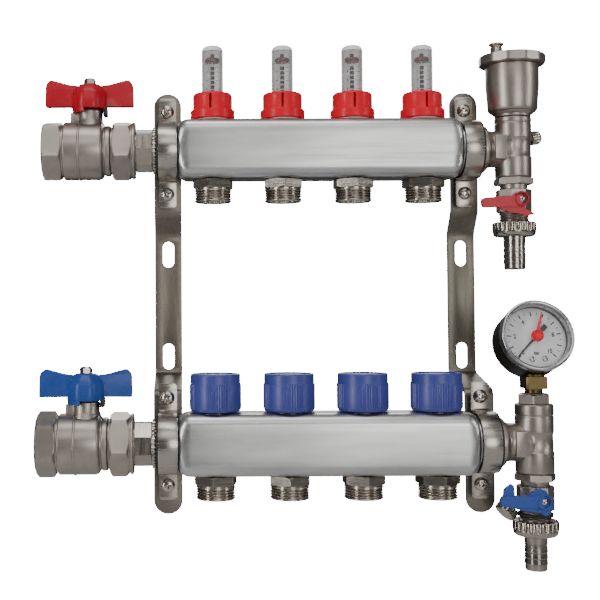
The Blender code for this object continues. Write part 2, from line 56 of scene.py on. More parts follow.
BODY_OF = {node: body for body, nodes in RECORD["behaviour"]["bodies"].items() for node in nodes}

MM = 0.001
LOOPS = range(1, 5)
STEPS = 72  # sides of a round shape
ALONG_X = (0, 90, 0)  # turns a shape's own Z to the right
TOWARDS_US = (90, 0, 0)  # turns a shape's own Z to the front
FRONT = -90  # the angle about Z that faces the front
QUARTERS = ((1, 1), (-1, 1), (-1, -1), (1, -1))


def middle(node):
    """A node's middle in millimetres."""
    low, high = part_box(node)
    return (Vector(low) + Vector(high)) / 2 / MM


AXIS = {line: middle(f"{line}_union_tail") for line in ("flow", "return")}
LOOP_X = {(line, i): middle(f"{line}_port_{i}").x for line in AXIS for i in LOOPS}
STRAP_X = {side: middle(f"flow_clamp_{side}").x for side in ("left", "right")}
TEE_X = {line: middle(f"{line}_drain_body").x for line in AXIS}
VALVE_X = middle("flow_valve_handle").x
JOINTS = {joint["name"]: joint for joint in frame["joints"]}


def at(line, x=0.0, z=0.0, y=0.0):
    """A point near the axis of the flow or the return bar."""
    return Vector((x, AXIS[line].y + y, AXIS[line].z + z))


# ---------------------------------------------------------------- mesh building


class Ring(NamedTuple):
    """One ring of a turned shape: round, or with sides and a radius to the corners, which limit and
    cut(angle) take away from."""

    radius: float
    height: float
    sides: int = 0
    limit: float = math.inf
    cut: Callable = None

    def reach(self, angle):
        radius = self.radius
        if self.sides:
            half = math.pi / self.sides
            radius *= math.cos(half) / math.cos(angle % (2 * half) - half)
        radius = min(radius, self.limit)
        return radius - (self.cut(angle) if self.cut else 0)


def link(obj):
    bpy.context.scene.collection.objects.link(obj)
    return obj


def add_object(name, vertices, faces, place=(0, 0, 0), rotate=(0, 0, 0)):
    """An object from points in millimetres, placed in millimetres and turned in degrees."""
    mesh = bpy.data.meshes.new(name)
    mesh.from_pydata([Vector(v) * MM for v in vertices], [], faces)
    work = bmesh.new()
    work.from_mesh(mesh)
    bmesh.ops.remove_doubles(work, verts=work.verts, dist=1e-6)
    bmesh.ops.recalc_face_normals(work, faces=work.faces)
    work.to_mesh(mesh)
    work.free()
    obj = link(bpy.data.objects.new(name, mesh))
    obj.location = Vector(place) * MM
    obj.rotation_euler = [math.radians(angle) for angle in rotate]
    return obj


def spin(obj, angle, axis="Z"):
    """Turns the object's mesh about its own origin, in degrees."""
    obj.data.transform(Matrix.Rotation(math.radians(angle), 4, axis))
    return obj


def shift(obj, x, y, z):
    """Moves the object's mesh, in millimetres."""
    obj.data.transform(Matrix.Translation(Vector((x, y, z)) * MM))
    return obj


def over_corner(previous, here, following, radius, steps, share):
    """Points on a curve over the corner here, which takes at most this share of either side."""
    before, after = previous - here, following - here
    reach = min(radius, before.length * share, after.length * share)
    start, end = here + before.normalized() * reach, here + after.normalized() * reach
    return [start * (1 - t) ** 2 + here * 2 * t * (1 - t) + end * t ** 2
            for t in (k / steps for k in range(steps + 1))]


def rounded(profile, size):
    """The profile with each outward corner of more than 30 degrees rounded over this size."""
    rings = [ring if isinstance(ring, Ring) else Ring(*ring) for ring in profile]
    points = [Vector((ring.radius, ring.height)) for ring in rings]
    count = len(rings)
    area = sum(points[i - 1].x * points[i].y - points[i].x * points[i - 1].y for i in range(count))
    out = []
    for i, ring in enumerate(rings):
        before, after = points[i] - points[i - 1], points[(i + 1) % count] - points[i]
        inner = rings[0].radius > 0 or 0 < i < count - 1
        turn = before.x * after.y - before.y * after.x
        if (not inner or ring.cut or min(before.length, after.length) < 1e-6 or turn * area <= 0
                or before.angle(after) < math.radians(30)):
            out.append(ring)
            continue
        for spot in over_corner(points[i - 1], points[i], points[(i + 1) % count], size, 4, 0.45):
            out.append(ring._replace(radius=spot.x, height=spot.y))
    return out


def turned(name, profile, steps=STEPS, turn=0.0, place=(0, 0, 0), rotate=(0, 0, 0), soft=0.4):
    """A shape turned about its own Z. A profile that starts off the axis is a closed loop, and any
    other ends at radius 0."""
    vertices, loops, faces = [], [], []
    rings = rounded(profile, soft)
    for ring in rings:
        if ring.radius <= 0:
            loops.append([len(vertices)])
            vertices.append((0, 0, ring.height))
            continue
        loops.append(list(range(len(vertices), len(vertices) + steps)))
        for k in range(steps):
            angle = 2 * math.pi * k / steps
            reach = ring.reach(angle)
            angle += math.radians(turn)
            vertices.append((reach * math.cos(angle), reach * math.sin(angle), ring.height))
    pairs = list(zip(loops, loops[1:]))
    if rings[0].radius > 0:
        pairs.append((loops[-1], loops[0]))
    for low, high in pairs:
        if len(low) + len(high) == 2:
            continue
        for k in range(steps):
            n = (k + 1) % steps
            if len(low) == 1:
                faces.append((low[0], high[k], high[n]))
            elif len(high) == 1:
                faces.append((low[k], low[n], high[0]))
            else:
                faces.append((low[k], low[n], high[n], high[k]))
    return add_object(name, vertices, faces, place, rotate)


def faceted(corner, low, high, sides=6, chamfer=0.07, low_cut=True):
    """The rings of a nut from low to high, its ends cut by the usual cones that leave curved edges."""
    inner = corner * (1 - chamfer)
    depth = math.copysign((corner - inner) * 0.6, high - low)
    limits = [inner + (corner - inner) * k / 5 for k in range(6)]
    rings = [Ring(corner, low + depth * k / 5, sides, limits[k] if low_cut else math.inf) for k in range(6)]
    return rings + [Ring(corner, high - depth * k / 5, sides, limits[k]) for k in range(5, -1, -1)]


def thread(radius, low, high, pitch=1.81, depth=1.0):
    """The rings of a helical thread, which fades out at both ends."""
    count = max(8, round(abs(high - low) / pitch * 8))
    rings = []
    for k in range(count + 1):
        height = low + (high - low) * k / count
        fade = min(1.0, abs(height - low) / pitch / 0.8, abs(high - height) / pitch / 0.8)

        def cut(angle, height=height, fade=fade):
            crest = abs((height / pitch + angle / (2 * math.pi)) % 1 - 0.5) * 2
            return depth * fade * min(1.0, max(0.0, (crest - 0.12) / 0.76))

        rings.append(Ring(radius, height, cut=cut))
    return rings


def flutes(count, depth):
    """A cut that repeats round a shape, for ribs and knurls."""
    def cut(angle):
        return depth * abs(math.sin(angle * count / 2))
    return cut


def lobes(count, depth):
    """A cut that leaves round lobes with narrow grooves between them."""
    def cut(angle):
        return depth * (1 - math.sqrt(abs(math.cos(angle * count / 2))))
    return cut


def plate(name, outline, low, high, place=(0, 0, 0)):
    """An outline in X and Z, made thick along Y from low to high."""
    count = len(outline)
    vertices = [(x, y, z) for y in (low, high) for x, z in outline]
    faces = [tuple(range(count)), tuple(range(2 * count - 1, count - 1, -1))]
    faces += [(k, (k + 1) % count, count + (k + 1) % count, count + k) for k in range(count)]
    return add_object(name, vertices, faces, place)


def soft_outline(points, radii):
    """A closed outline with its corners rounded, one radius for all or one each."""
    if not isinstance(radii, list):
        radii = [radii] * len(points)
    corners = [Vector(point) for point in points]
    out = []
    for i, radius in enumerate(radii):
        if radius > 0:
            out += over_corner(corners[i - 1], corners[i], corners[(i + 1) % len(points)], radius, 6, 0.49)
        else:
            out.append(corners[i])
    return [tuple(point) for point in out]


def bent(points, radius):
    """An open path with its corners bent to this radius."""
    corners = [Vector(point) for point in points]
    path = [corners[0]]
    for i in range(1, len(corners) - 1):
        path += over_corner(*corners[i - 1:i + 2], radius, 8, 0.49)
    return path + [corners[-1]]


def ribbon(name, path, width, thickness, place, end_radius):
    """A strip bent along a path in Y and Z, with rounded corners at both ends."""
    points = [Vector(p) for p in path]
    total = [0.0]
    for a, b in zip(points, points[1:]):
        total.append(total[-1] + (b - a).length)

    def spot(distance):
        for k in range(len(points) - 1):
            if distance <= total[k + 1]:
                t = (distance - total[k]) / (total[k + 1] - total[k])
                return points[k].lerp(points[k + 1], t)
        return points[-1]

    arcs = [math.radians(a) for a in range(0, 91, 10)]
    stations = [(end_radius * (1 - math.cos(a)), width - 2 * end_radius * (1 - math.sin(a))) for a in arcs]
    stations += [(d, width) for d in total[1:-1] if end_radius < d < total[-1] - end_radius]
    stations += [(total[-1] - d, w) for d, w in reversed(stations[:len(arcs)])]
    vertices, faces = [], []
    for distance, wide in stations:
        along = (spot(min(distance + 0.05, total[-1])) - spot(max(distance - 0.05, 0))).normalized()
        normal = Vector((-along.y, along.x)) * thickness / 2
        here = spot(distance)
        for side, edge in ((-1, 1), (1, 1), (1, -1), (-1, -1)):
            y, z = here + normal * edge
            vertices.append((side * max(wide, 0.8) / 2, y, z))
    last = 4 * (len(stations) - 1)
    for base in range(0, last, 4):
        for j in range(4):
            n = (j + 1) % 4
            faces.append((base + j, base + n, base + 4 + n, base + 4 + j))
    faces += [(0, 1, 2, 3), (last + 3, last + 2, last + 1, last)]
    return add_object(name, vertices, faces, place)


def rod(name, radius, start, end):
    """A plain round rod between two points, for cutting and joining."""
    start, end = Vector(start), Vector(end)
    length = (end - start).length
    obj = turned(name, [(0, 0), (radius, 0), (radius, length), (0, length)], 48, soft=0)
    obj.matrix_world = (Matrix.Translation(start * MM)
                        @ (end - start).to_track_quat("Z", "Y").to_matrix().to_4x4())
    return obj


def evaluated_mesh(obj):
    """A new mesh of the object with its modifiers or its text applied."""
    bpy.context.view_layer.update()
    return bpy.data.meshes.new_from_object(obj.evaluated_get(bpy.context.evaluated_depsgraph_get()))


def settle(obj):
    """Applies the object's modifiers to its mesh."""
    mesh = evaluated_mesh(obj)
    obj.modifiers.clear()
    obj.data = mesh
    return obj


def remove(obj):
    bpy.data.objects.remove(obj, do_unlink=True)


def combine(base, others, operation):
    """Joins the others to the base, or cuts them from it, and removes them."""
    for other in others:
        modifier = base.modifiers.new("join", "BOOLEAN")
        modifier.operation = operation
        modifier.object = other
    settle(base)
    for other in others:
        remove(other)
    return base


def bevel(obj, width, segments=2, angle=32):
    modifier = obj.modifiers.new("edges", "BEVEL")
    modifier.width = width * MM
    modifier.segments = segments
    modifier.limit_method = "ANGLE"
    modifier.angle_limit = math.radians(angle)
    return settle(obj)


def join(name, objects):
    """One object from several, each of which keeps its own materials."""
    materials, work = [], bmesh.new()
    bpy.context.view_layer.update()
    base = objects[0].matrix_world.copy()
    for obj in objects:
        data = obj.data.copy()
        data.transform(base.inverted() @ obj.matrix_world)
        count = len(work.faces)
        work.from_mesh(data)
        work.faces.ensure_lookup_table()
        slots = {}
        for index, found in enumerate(obj.data.materials):
            if found not in materials:
                materials.append(found)
            slots[index] = materials.index(found)
        for face in work.faces[count:]:
            face.material_index = slots.get(face.material_index, 0)
    mesh = bpy.data.meshes.new(name)
    work.to_mesh(mesh)
    work.free()
    for found in materials:
        mesh.materials.append(found)
    for obj in objects[1:]:
        remove(obj)
    objects[0].data = mesh
    objects[0].name = mesh.name = name
    return objects[0]


def shade(obj, material, angle=32):
    obj.data.materials.clear()
    obj.data.materials.append(MATERIALS[material])
    obj.data.shade_smooth()
    obj.data.set_sharp_from_angle(angle=math.radians(angle))
    return obj


def stand_in(obj, node):
    """The object rides with this node's body and is shown instead of it."""
    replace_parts(add_on(obj, node), node)


def add_on(obj, node):
    """The object rides with this node's body, beside it."""
    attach(obj, BODY_OF[node])
    return obj


# ---------------------------------------------------------------- materials

BUMP_DEPTH = 0.00005  # metres


def link_noise(tree, scale, stretch, detail):
    """A noise texture in the object's own space, stretched along its axes."""
    nodes, links = tree.nodes, tree.links
    place = nodes.new("ShaderNodeTexCoord")
    mapping = nodes.new("ShaderNodeMapping")
    mapping.inputs["Scale"].default_value = stretch
    noise = nodes.new("ShaderNodeTexNoise")
    for socket, value in (("Scale", scale), ("Detail", detail), ("Roughness", 0.6)):
        noise.inputs[socket].default_value = value
    links.new(place.outputs["Object"], mapping.inputs["Vector"])
    links.new(mapping.outputs["Vector"], noise.inputs["Vector"])
    return noise.outputs["Fac"]


def spread(tree, value, low, high, start=0.3, end=0.7):
    """A value from start to end spread between low and high."""
    node = tree.nodes.new("ShaderNodeMapRange")
    for socket, bound in (("From Min", start), ("From Max", end), ("To Min", low), ("To Max", high)):
        node.inputs[socket].default_value = bound
    tree.links.new(value, node.inputs["Value"])
    return node.outputs["Result"]


def blend_colours(tree, factor, low, high):
    """A colour between two, each of which is a colour or another node's output."""
    node = tree.nodes.new("ShaderNodeMix")
    node.data_type = "RGBA"
    for socket, colour in (("A", low), ("B", high)):
        if isinstance(colour, bpy.types.NodeSocket):
            tree.links.new(colour, node.inputs[socket])
        else:
            node.inputs[socket].default_value = (*[min(1.0, c) for c in colour], 1)
    tree.links.new(factor, node.inputs["Factor"])
    return node.outputs["Result"]


def surface(name, colour, roughness, metallic=0.0, grain=900.0, stretch=(1, 1, 1), bump=0.1,
            roughness_spread=0.06, mottle=0.08, mottle_scale=60.0, wear=0.0, coat=0.0,
            specular=0.5, painted_glow=0.0, mottle_stretch=(1, 1, 1)):
    """A material with fine grain in its roughness and bump, slow variation in its colour, and, where painted_glow
    is set, a glow of its own colour that is painted light.
    """
    made = bpy.data.materials.new(name)
    made.use_nodes = True
    tree = made.node_tree
    nodes, links = tree.nodes, tree.links
    shader = nodes["Principled BSDF"]
    # Emission takes the base colour; painted_glow above 0 makes the surface give off light of its own, which is
    # painted light, not a lamp.
    for socket, value in (("Metallic", metallic), ("Coat Weight", coat), ("Coat Roughness", 0.12),
                          ("Specular IOR Level", specular), ("Emission Color", (*colour, 1)),
                          ("Emission Strength", painted_glow)):
        shader.inputs[socket].default_value = value
    fine = link_noise(tree, grain, stretch, 4.0)
    slow = link_noise(tree, mottle_scale, mottle_stretch, 3.0)
    links.new(spread(tree, fine, roughness - roughness_spread, roughness + roughness_spread),
              shader.inputs["Roughness"])
    result = blend_colours(tree, spread(tree, slow, 0, 1), [c * (1 - mottle) for c in colour],
                           [c * (1 + mottle) for c in colour])
    if wear:
        edges = nodes.new("ShaderNodeNewGeometry")
        result = blend_colours(tree, spread(tree, edges.outputs["Pointiness"], 0, wear, 0.52, 0.6), result,
                               [c * 1.5 + 0.06 for c in colour])
    links.new(result, shader.inputs["Base Color"])
    if bump:
        node = nodes.new("ShaderNodeBump")
        node.inputs["Strength"].default_value = bump
        node.inputs["Distance"].default_value = BUMP_DEPTH
        links.new(fine, node.inputs["Height"])
        links.new(node.outputs["Normal"], shader.inputs["Normal"])
    return made


def clear(name, colour, roughness, alpha, rim=None):
    """A clear moulding: the shader's own alpha shows what is inside, less so towards its rim."""
    made = surface(name, colour, roughness, 0.0, grain=300, bump=0.02, roughness_spread=0.03, mottle=0.03)
    tree = made.node_tree
    shader = tree.nodes["Principled BSDF"]
    shader.inputs["Alpha"].default_value = alpha
    shader.inputs["IOR"].default_value = 1.5
    if rim:
        grazing = tree.nodes.new("ShaderNodeLayerWeight")
        tree.links.new(spread(tree, grazing.outputs["Facing"], alpha, rim, 0.35, 0.8), shader.inputs["Alpha"])
    return made


CAST = {"metallic": 1.0, "wear": 0.5, "mottle": 0.10}
PAINT = {"grain": 500, "bump": 0.12, "mottle": 0.06, "coat": 0.12, "wear": 0.08, "specular": 0.3}
MATERIALS = {
    "bar": surface("bar_stainless", (0.57, 0.57, 0.56), 0.32, 1.0, grain=700, stretch=(0.02, 1, 1), bump=0.16,
                   roughness_spread=0.05, mottle=0.22, mottle_scale=45, mottle_stretch=(0.22, 1, 1)),
    "bracket": surface("bracket_steel", (0.20, 0.18, 0.145), 0.46, 1.0, bump=0.04, wear=0.5, mottle=0.05),
    "strap": surface("strap_steel", (0.40, 0.365, 0.32), 0.29, 1.0, grain=600, stretch=(0.05, 1, 1),
                     bump=0.05, wear=0.4),
    "nickel": surface("nickel_cast", (0.385, 0.345, 0.305), 0.37, grain=1500, roughness_spread=0.07, **CAST),
    "nickel_turned": surface("nickel_turned", (0.41, 0.37, 0.32), 0.22, stretch=(0.05, 0.05, 1),
                             bump=0.06, **CAST),
    "screw": surface("screw_steel", (0.48, 0.44, 0.39), 0.2, 1.0, bump=0.08, wear=0.6),
    "chrome": surface("chrome_ball", (0.75, 0.75, 0.75), 0.08, 1.0, grain=400, bump=0.01,
                      roughness_spread=0.02),
    "brass": surface("brass", (0.125, 0.090, 0.040), 0.36, 1.0, grain=1200, bump=0.2, wear=0.5, mottle=0.15),
    "red": surface("red_plastic", (0.73, 0.006, 0.024), 0.34, grain=700, bump=0.05, mottle=0.05, coat=0.06,
                   specular=0.25),
    "red_paint": surface("red_paint", (0.45, 0.003, 0.015), 0.38, **PAINT),
    "blue_paint": surface("blue_paint", (0.020, 0.066, 0.30), 0.36, **PAINT),
    "blue": surface("blue_plastic", (0.048, 0.061, 0.29), 0.36, bump=0.08, mottle=0.05),
    "blue_disc": surface("blue_disc", (0.12, 0.18, 0.50), 0.4, bump=0.06, mottle=0.05),
    "float": surface("float_red", (0.14, 0.035, 0.022), 0.35, grain=600, bump=0.04),
    "black": surface("black_plastic", (0.018, 0.017, 0.016), 0.42, grain=700, bump=0.12),
    "rubber": surface("rubber", (0.012, 0.011, 0.011), 0.6, grain=500, bump=0.2),
    "case": surface("case_black", (0.006, 0.006, 0.005), 0.42, grain=400, bump=0.12, wear=0.05, specular=0.3),
    "bezel": surface("bezel_grey", (0.46, 0.46, 0.48), 0.20, 0.95, bump=0, roughness_spread=0.02,
                     mottle=0.02),
    "dial": surface("dial_white", (0.82, 0.82, 0.82), 0.5, grain=400, bump=0.03, mottle=0.02),
    "ink": surface("ink", (0.012, 0.012, 0.015), 0.55, grain=400, bump=0.02),
    "ink_grey": surface("ink_grey", (0.10, 0.10, 0.11), 0.55, grain=400, bump=0.02),
    "white": surface("white_plastic", (0.62, 0.61, 0.58), 0.4, grain=500, bump=0.03),
    # The sleeve, also used on the tube's crown, glows a little: painted light that makes it brighter than the
    # lamps alone would.
    "sleeve": surface("tube_sleeve", (0.85, 0.84, 0.83), 0.5, grain=500, bump=0.03, specular=0.2, painted_glow=0.2),
    "tube": clear("sight_tube_clear", (0.47, 0.47, 0.47), 0.10, 0.10, 0.9),
    "lens": clear("gauge_lens", (0.9, 0.92, 0.93), 0.04, 0.03),
}
PAINT_OF = {"flow": "red_paint", "return": "blue_paint"}

# ---------------------------------------------------------------- bars, brackets and clamps

BAR_HALF_LENGTH, BAR_HALF_HEIGHT, BAR_HALF_DEPTH, BAR_CORNER = 100.5, 21.0, 19.0, 8.0
NECK_RADIUS, NECK_BORE, NECK_END = 16.8, 15.3, 114.5
END_ROUND = 9.0  # length of the rounded end of a bar


def bar_section(x, blend):
    """Points round the bar, from its full rounded rectangle at 0 to its neck's circle at 1."""
    def on_corner(quarter, degrees):
        side, up = QUARTERS[quarter % 4]
        turn = math.radians(90 * quarter + degrees)
        return (side * (BAR_HALF_DEPTH - BAR_CORNER) + BAR_CORNER * math.cos(turn),
                up * (BAR_HALF_HEIGHT - BAR_CORNER) + BAR_CORNER * math.sin(turn))

    outline = []
    for quarter in range(4):
        outline += [on_corner(quarter, 9 * k) for k in range(11)]
        (y, z), (next_y, next_z) = outline[-1], on_corner(quarter + 1, 0)
        outline += [(y + (next_y - y) * k / 6, z + (next_z - z) * k / 6) for k in range(1, 6)]
    points = []
    for y, z in outline:
        scale = NECK_RADIUS / math.hypot(y, z)
        points.append((x, y + (y * scale - y) * blend, z + (z * scale - z) * blend))
    return points


def make_bar(line):
    """The bar with rounded ends and two necks, each with a small weld bead where it meets the bar."""
    rings = [(NECK_END - 16, 8), (NECK_END - 16, NECK_BORE), (NECK_END, NECK_BORE),
             (NECK_END, NECK_RADIUS - 0.4), (NECK_END - 0.4, NECK_RADIUS),
             (BAR_HALF_LENGTH + 1.2, NECK_RADIUS), (BAR_HALF_LENGTH + 0.7, NECK_RADIUS + 0.5),
             (BAR_HALF_LENGTH + 0.2, NECK_RADIUS + 0.4)]
    half = [[(x, y * radius / NECK_RADIUS, z * radius / NECK_RADIUS) for _, y, z in bar_section(x, 1)]
            for x, radius in rings]
    full = BAR_HALF_LENGTH - END_ROUND
    for k in range(12, -1, -1):
        t = math.radians(90 * k / 12)
        half.append(bar_section(full + END_ROUND * math.sin(t), 1 - math.cos(t)))
    sections = half + [bar_section(x * full / 6, 0) for x in range(5, -6, -1)]
    sections += [[(-x, y, z) for x, y, z in section] for section in reversed(half)]
    count = len(sections[0])
    vertices = [point for section in sections for point in section]
    faces = [tuple(range(count)), tuple(range(len(vertices) - 1, len(vertices) - count - 1, -1))]
    for base in range(0, len(vertices) - count, count):
        for k in range(count):
            n = (k + 1) % count
            faces.append((base + k, base + n, base + count + n, base + count + k))
    bar = add_object(f"{line}_bar_shell", vertices, faces, at(line))
    if line == "flow":  # room for the stems of the floats
        bores = [rod("bore", 4.5, at(line, LOOP_X[line, i], -2), at(line, LOOP_X[line, i], 24))
                 for i in LOOPS]
        combine(bar, bores, "DIFFERENCE")
    else:
        for i in LOOPS:
            socket = turned(f"return_socket_{i}",
                            [(10, 20.5), (12.3, 20.5), *thread(12.3, 21, 30.4, 1.5, 0.7), (12, 31), (10, 31)],
                            place=at(line, LOOP_X[line, i]))
            add_on(shade(socket, "nickel_turned"), "return_bar")
    stand_in(shade(bar, "bar", 40), f"{line}_bar")


PLATE_THICK, PLATE_WIDTH, PLATE_FRONT, PLATE_BEND = 2.5, 20.0, 19.5, 4.0
SLOT_WIDTH, SLOT_LENGTH, SLOTS_BELOW_FLOW = 8.3, 19.0, (72.5, 148.0)


def slot_outline():
    half, radius = (SLOT_LENGTH - SLOT_WIDTH) / 2, SLOT_WIDTH / 2
    angles = [math.radians(10 * k) for k in range(19)]
    top = [(radius * math.cos(a), half + radius * math.sin(a)) for a in angles]
    return top + [(-x, -z) for x, z in top]


def make_bracket(side):
    """A plated strip cranked off the wall behind each bar."""
    node = f"bracket_{side}"
    low, high = (Vector(v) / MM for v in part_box(node))
    x, back = (low.x + high.x) / 2, PLATE_THICK / 2
    upper, lower, wall = AXIS["flow"].y + PLATE_FRONT + back, AXIS["return"].y + PLATE_FRONT + back, -back
    flow_z, return_z = AXIS["flow"].z, AXIS["return"].z
    corners = [(upper, high.z), (upper, flow_z - 42.5), (wall, flow_z - 57.6), (wall, return_z + 43),
               (lower, return_z + 33), (lower, low.z)]
    bracket = ribbon(f"{node}_strip", bent(corners, PLATE_BEND), PLATE_WIDTH, PLATE_THICK, (x, 0, 0),
                     PLATE_WIDTH / 2 - 0.4)
    combine(bracket, [plate("slot", slot_outline(), -6, 3, (x, 0, flow_z - below))
                      for below in SLOTS_BELOW_FLOW], "DIFFERENCE")
    bevel(bracket, 0.35)
    stand_in(shade(bracket, "bracket"), node)


STRAP_RADIUS, STRAP_THICK, STRAP_WIDTH = 20.1, 1.5, 12.5
TAB_BACK, TAB_REACH, CLAMP_SCREW = 11.75, 40.0, 30.0


def make_clamp(line, side):
    """The strap over a neck, its rubber lining and its two screws."""
    node, x = f"{line}_clamp_{side}", STRAP_X[side]
    upper = bent([(TAB_BACK, TAB_REACH), (TAB_BACK, STRAP_RADIUS), (0, STRAP_RADIUS)], 2.2)
    arc = [math.radians(90 - 5 * k) for k in range(1, 36)]
    path = upper + [(-STRAP_RADIUS * math.cos(a), STRAP_RADIUS * math.sin(a)) for a in arc]
    path += [(y, -z) for y, z in reversed(upper)]
    strap = bevel(ribbon(f"{node}_strap", path, STRAP_WIDTH, STRAP_THICK, at(line, x), 2.6), 0.3)
    stand_in(shade(strap, "strap"), node)

    outward = 90 if side == "right" else -90
    lining = turned(f"{node}_lining",
                    [(16.9, -6.0), (17.5, -6.0), (19.1, -5.0), (19.1, 6.4), (20.6, 6.5), (20.6, 7.5),
                     (18.1, 7.7), (16.9, 7.7)], place=at(line, x), rotate=(0, outward, 0), soft=0.3)
    add_on(shade(lining, "rubber"), node)
    for end, word in ((1, "top"), (-1, "bottom")):
        screw = link(SCREW.copy())
        screw.name = f"{node}_screw_{word}"
        screw.location = at(line, x, end * CLAMP_SCREW, TAB_BACK - STRAP_THICK / 2) * MM
        screw.rotation_euler = (math.radians(90), math.radians(20 + 31 * end), 0)
        add_on(screw, node)


def make_screw():
    """A pan-head screw with a cross recess, its own Z out of the head."""
    head = turned("clamp_screw",
                  [(0, -15), (1.9, -14.6), (2.2, -14), (2.2, 0), (4.75, 0), (4.75, 0.9), (4.2, 2.1),
                   (2.8, 2.9), (0, 3.2)], steps=48, soft=0.5)
    outline = [(-2.6, 3.6), (-2.3, 3.2), (-0.9, 1.0), (0.9, 1.0), (2.3, 3.2), (2.6, 3.6)]
    combine(head, [spin(plate("arm", outline, -0.62, 0.62), turn) for turn in (0, 90)], "DIFFERENCE")
    return shade(bevel(head, 0.08, 1, 50), "screw")


# ---------------------------------------------------------------- loop ports, flow meters, return caps


def make_port(line, i):
    """A threaded nipple with a chamfered hexagon, each turned a little further than the last, and a
    toothed seat in its mouth."""
    teeth = flutes(24, 0.5)
    profile = [(8, -17.3), (9.6, -17.3), (9.6, -21.3), *faceted(15.25, -21.4, -27.3), (12.3, -27.5),
               (12.3, -28.4), *thread(13.2, -28.4, -36.6), (12.5, -37.2), (12.2, -37.4), (10.9, -37.4),
               (10.4, -36.6), Ring(10.2, -36.4, cut=teeth), Ring(9.9, -33.5, cut=teeth), (8.6, -33.2),
               (8, -30)]
    port = turned(f"{line}_port_{i}_nipple", profile, place=at(line, LOOP_X[line, i]), turn=7 * i + 12,
                  soft=0.25)
    stand_in(shade(port, "nickel_turned"), f"{line}_port_{i}")


def text_shape(words, size, material):
    """Words as a thin mesh in X and Y, centred, facing up its own Z."""
    curve = bpy.data.curves.new("words", "FONT")
    curve.body = words
    curve.size = size * MM
    curve.extrude = 0.025 * MM
    curve.offset = size * MM * 0.035
    curve.align_x = curve.align_y = "CENTER"
    curve.resolution_u = 3
    obj = link(bpy.data.objects.new("words", curve))
    mesh = evaluated_mesh(obj)
    remove(obj)
    return shade(link(bpy.data.objects.new("words", mesh)), material)


def arc_strip(radius, start, end, low, high, thickness=0.08):
    """A thin curved strip on a cylinder, from one angle to another, such as a printed scale line."""
    count = max(1, round(abs(end - start) / 6))
    vertices, faces = [], []
    for k in range(count + 1):
        angle = math.radians(start + (end - start) * k / count)
        vertices += [(reach * math.cos(angle), reach * math.sin(angle), height)
                     for reach in (radius, radius + thickness) for height in (low, high)]
    for a in range(0, 4 * count, 4):
        b = a + 4
        faces += [(a, a + 1, b + 1, b), (a + 2, b + 2, b + 3, a + 3), (a + 1, a + 3, b + 3, b + 1),
                  (a, b, b + 2, a + 2)]
    faces += [(0, 2, 3, 1), (4 * count, 4 * count + 1, 4 * count + 3, 4 * count + 2)]
    return add_object("strip", vertices, faces)


COLLAR_SLOTS, SCALE_LOW, SCALE_PITCH, SCALE_LINES = 4, 42.6, 3.1, 7


def make_collar(i):
    """The red regulating collar with its four slots, on a white seat."""
    place, turn = at("flow", LOOP_X["flow", i]), FRONT - 11 + 3 * i  # each is turned a little further
    collar = turned(f"flow_meter_collar_{i}_cap",
                    [(11.6, 21.7), (15.3, 21.7), (15.8, 22.5), (15.8, 28.4), (14.1, 28.6), (14.1, 39.0),
                     (13.2, 40.4), (8.1, 40.4), (8.1, 24.4), (11.6, 24.4)], place=place, soft=0.7)
    slot = [(9.3, 28.0), (17, 28.0), (17, 38.9), (9.3, 38.9)]
    combine(collar, [spin(plate("slot", slot, -0.8, 0.8, place), turn + 90 * k)
                     for k in range(COLLAR_SLOTS)], "DIFFERENCE")
    stand_in(shade(bevel(collar, 0.15, 2, 50), "red"), f"flow_meter_collar_{i}")
    seat = turned(f"flow_meter_seat_{i}", [(10, 20.8), (14.4, 20.8), (14.4, 21.5), (10, 21.5)], place=place,
                  soft=0.2)
    add_on(shade(seat, "white"), "flow_bar")


def make_sight_tube(i):
    """The clear tube with the pale sleeve and crown behind its scale, which glow a little as painted light, and
    the printed scale.
    """
    place = at("flow", LOOP_X["flow", i])
    tube = turned(f"sight_tube_{i}_glass",
                  [(6.6, 16.5), (9.6, 16.5), (9.6, 21.3), (11.2, 21.3), (11.2, 24), (7.7, 24), (7.7, 71.5),
                   (7.0, 73.7), (5.0, 74.8), (0, 74.8), (0, 73.2), (4.6, 73.2), (6.6, 71.2)],
                  place=place, soft=1.2)
    sleeve = arc_strip(7.2, -4, 184, 25, 71, 0.15)
    sleeve.location = place * MM
    crown = turned("crown", [(7.3, 71), (7.2, 72), (6.4, 73.8), (5.0, 74.5), (0, 74.5), (0, 74.3),
                             (4.9, 74.3), (6.2, 73.6), (7.1, 71.9), (7.2, 71)], place=place, soft=0)
    tube = join(f"sight_tube_{i}_glass",
                [shade(tube, "tube"), shade(sleeve, "sleeve"), shade(crown, "sleeve")])
    stand_in(tube, f"sight_tube_{i}")
    marks, edge = [], FRONT + 14
    for k in range(SCALE_LINES):
        low = SCALE_LOW + SCALE_PITCH * k
        wide = 20 if k % 2 else 30
        marks.append(shade(arc_strip(7.72, edge, edge + wide, low, low + 0.28), "ink_grey"))
        if k % 2 == 0:
            number = shift(text_shape(str(5 - k // 2), 2.0, "ink_grey"), 0, 0, 7.78)
            marks.append(shift(spin(spin(number, 90, "X"), -34), 0, 0, low + 0.2))
    scale = join(f"sight_tube_{i}_scale", marks)
    scale.location = place * MM
    add_on(scale, f"sight_tube_{i}")


FLOAT_BANDS, BAND_LOW, BAND_HIGH, BAND_PITCH = 6, 41.2, 43.4, 3.35


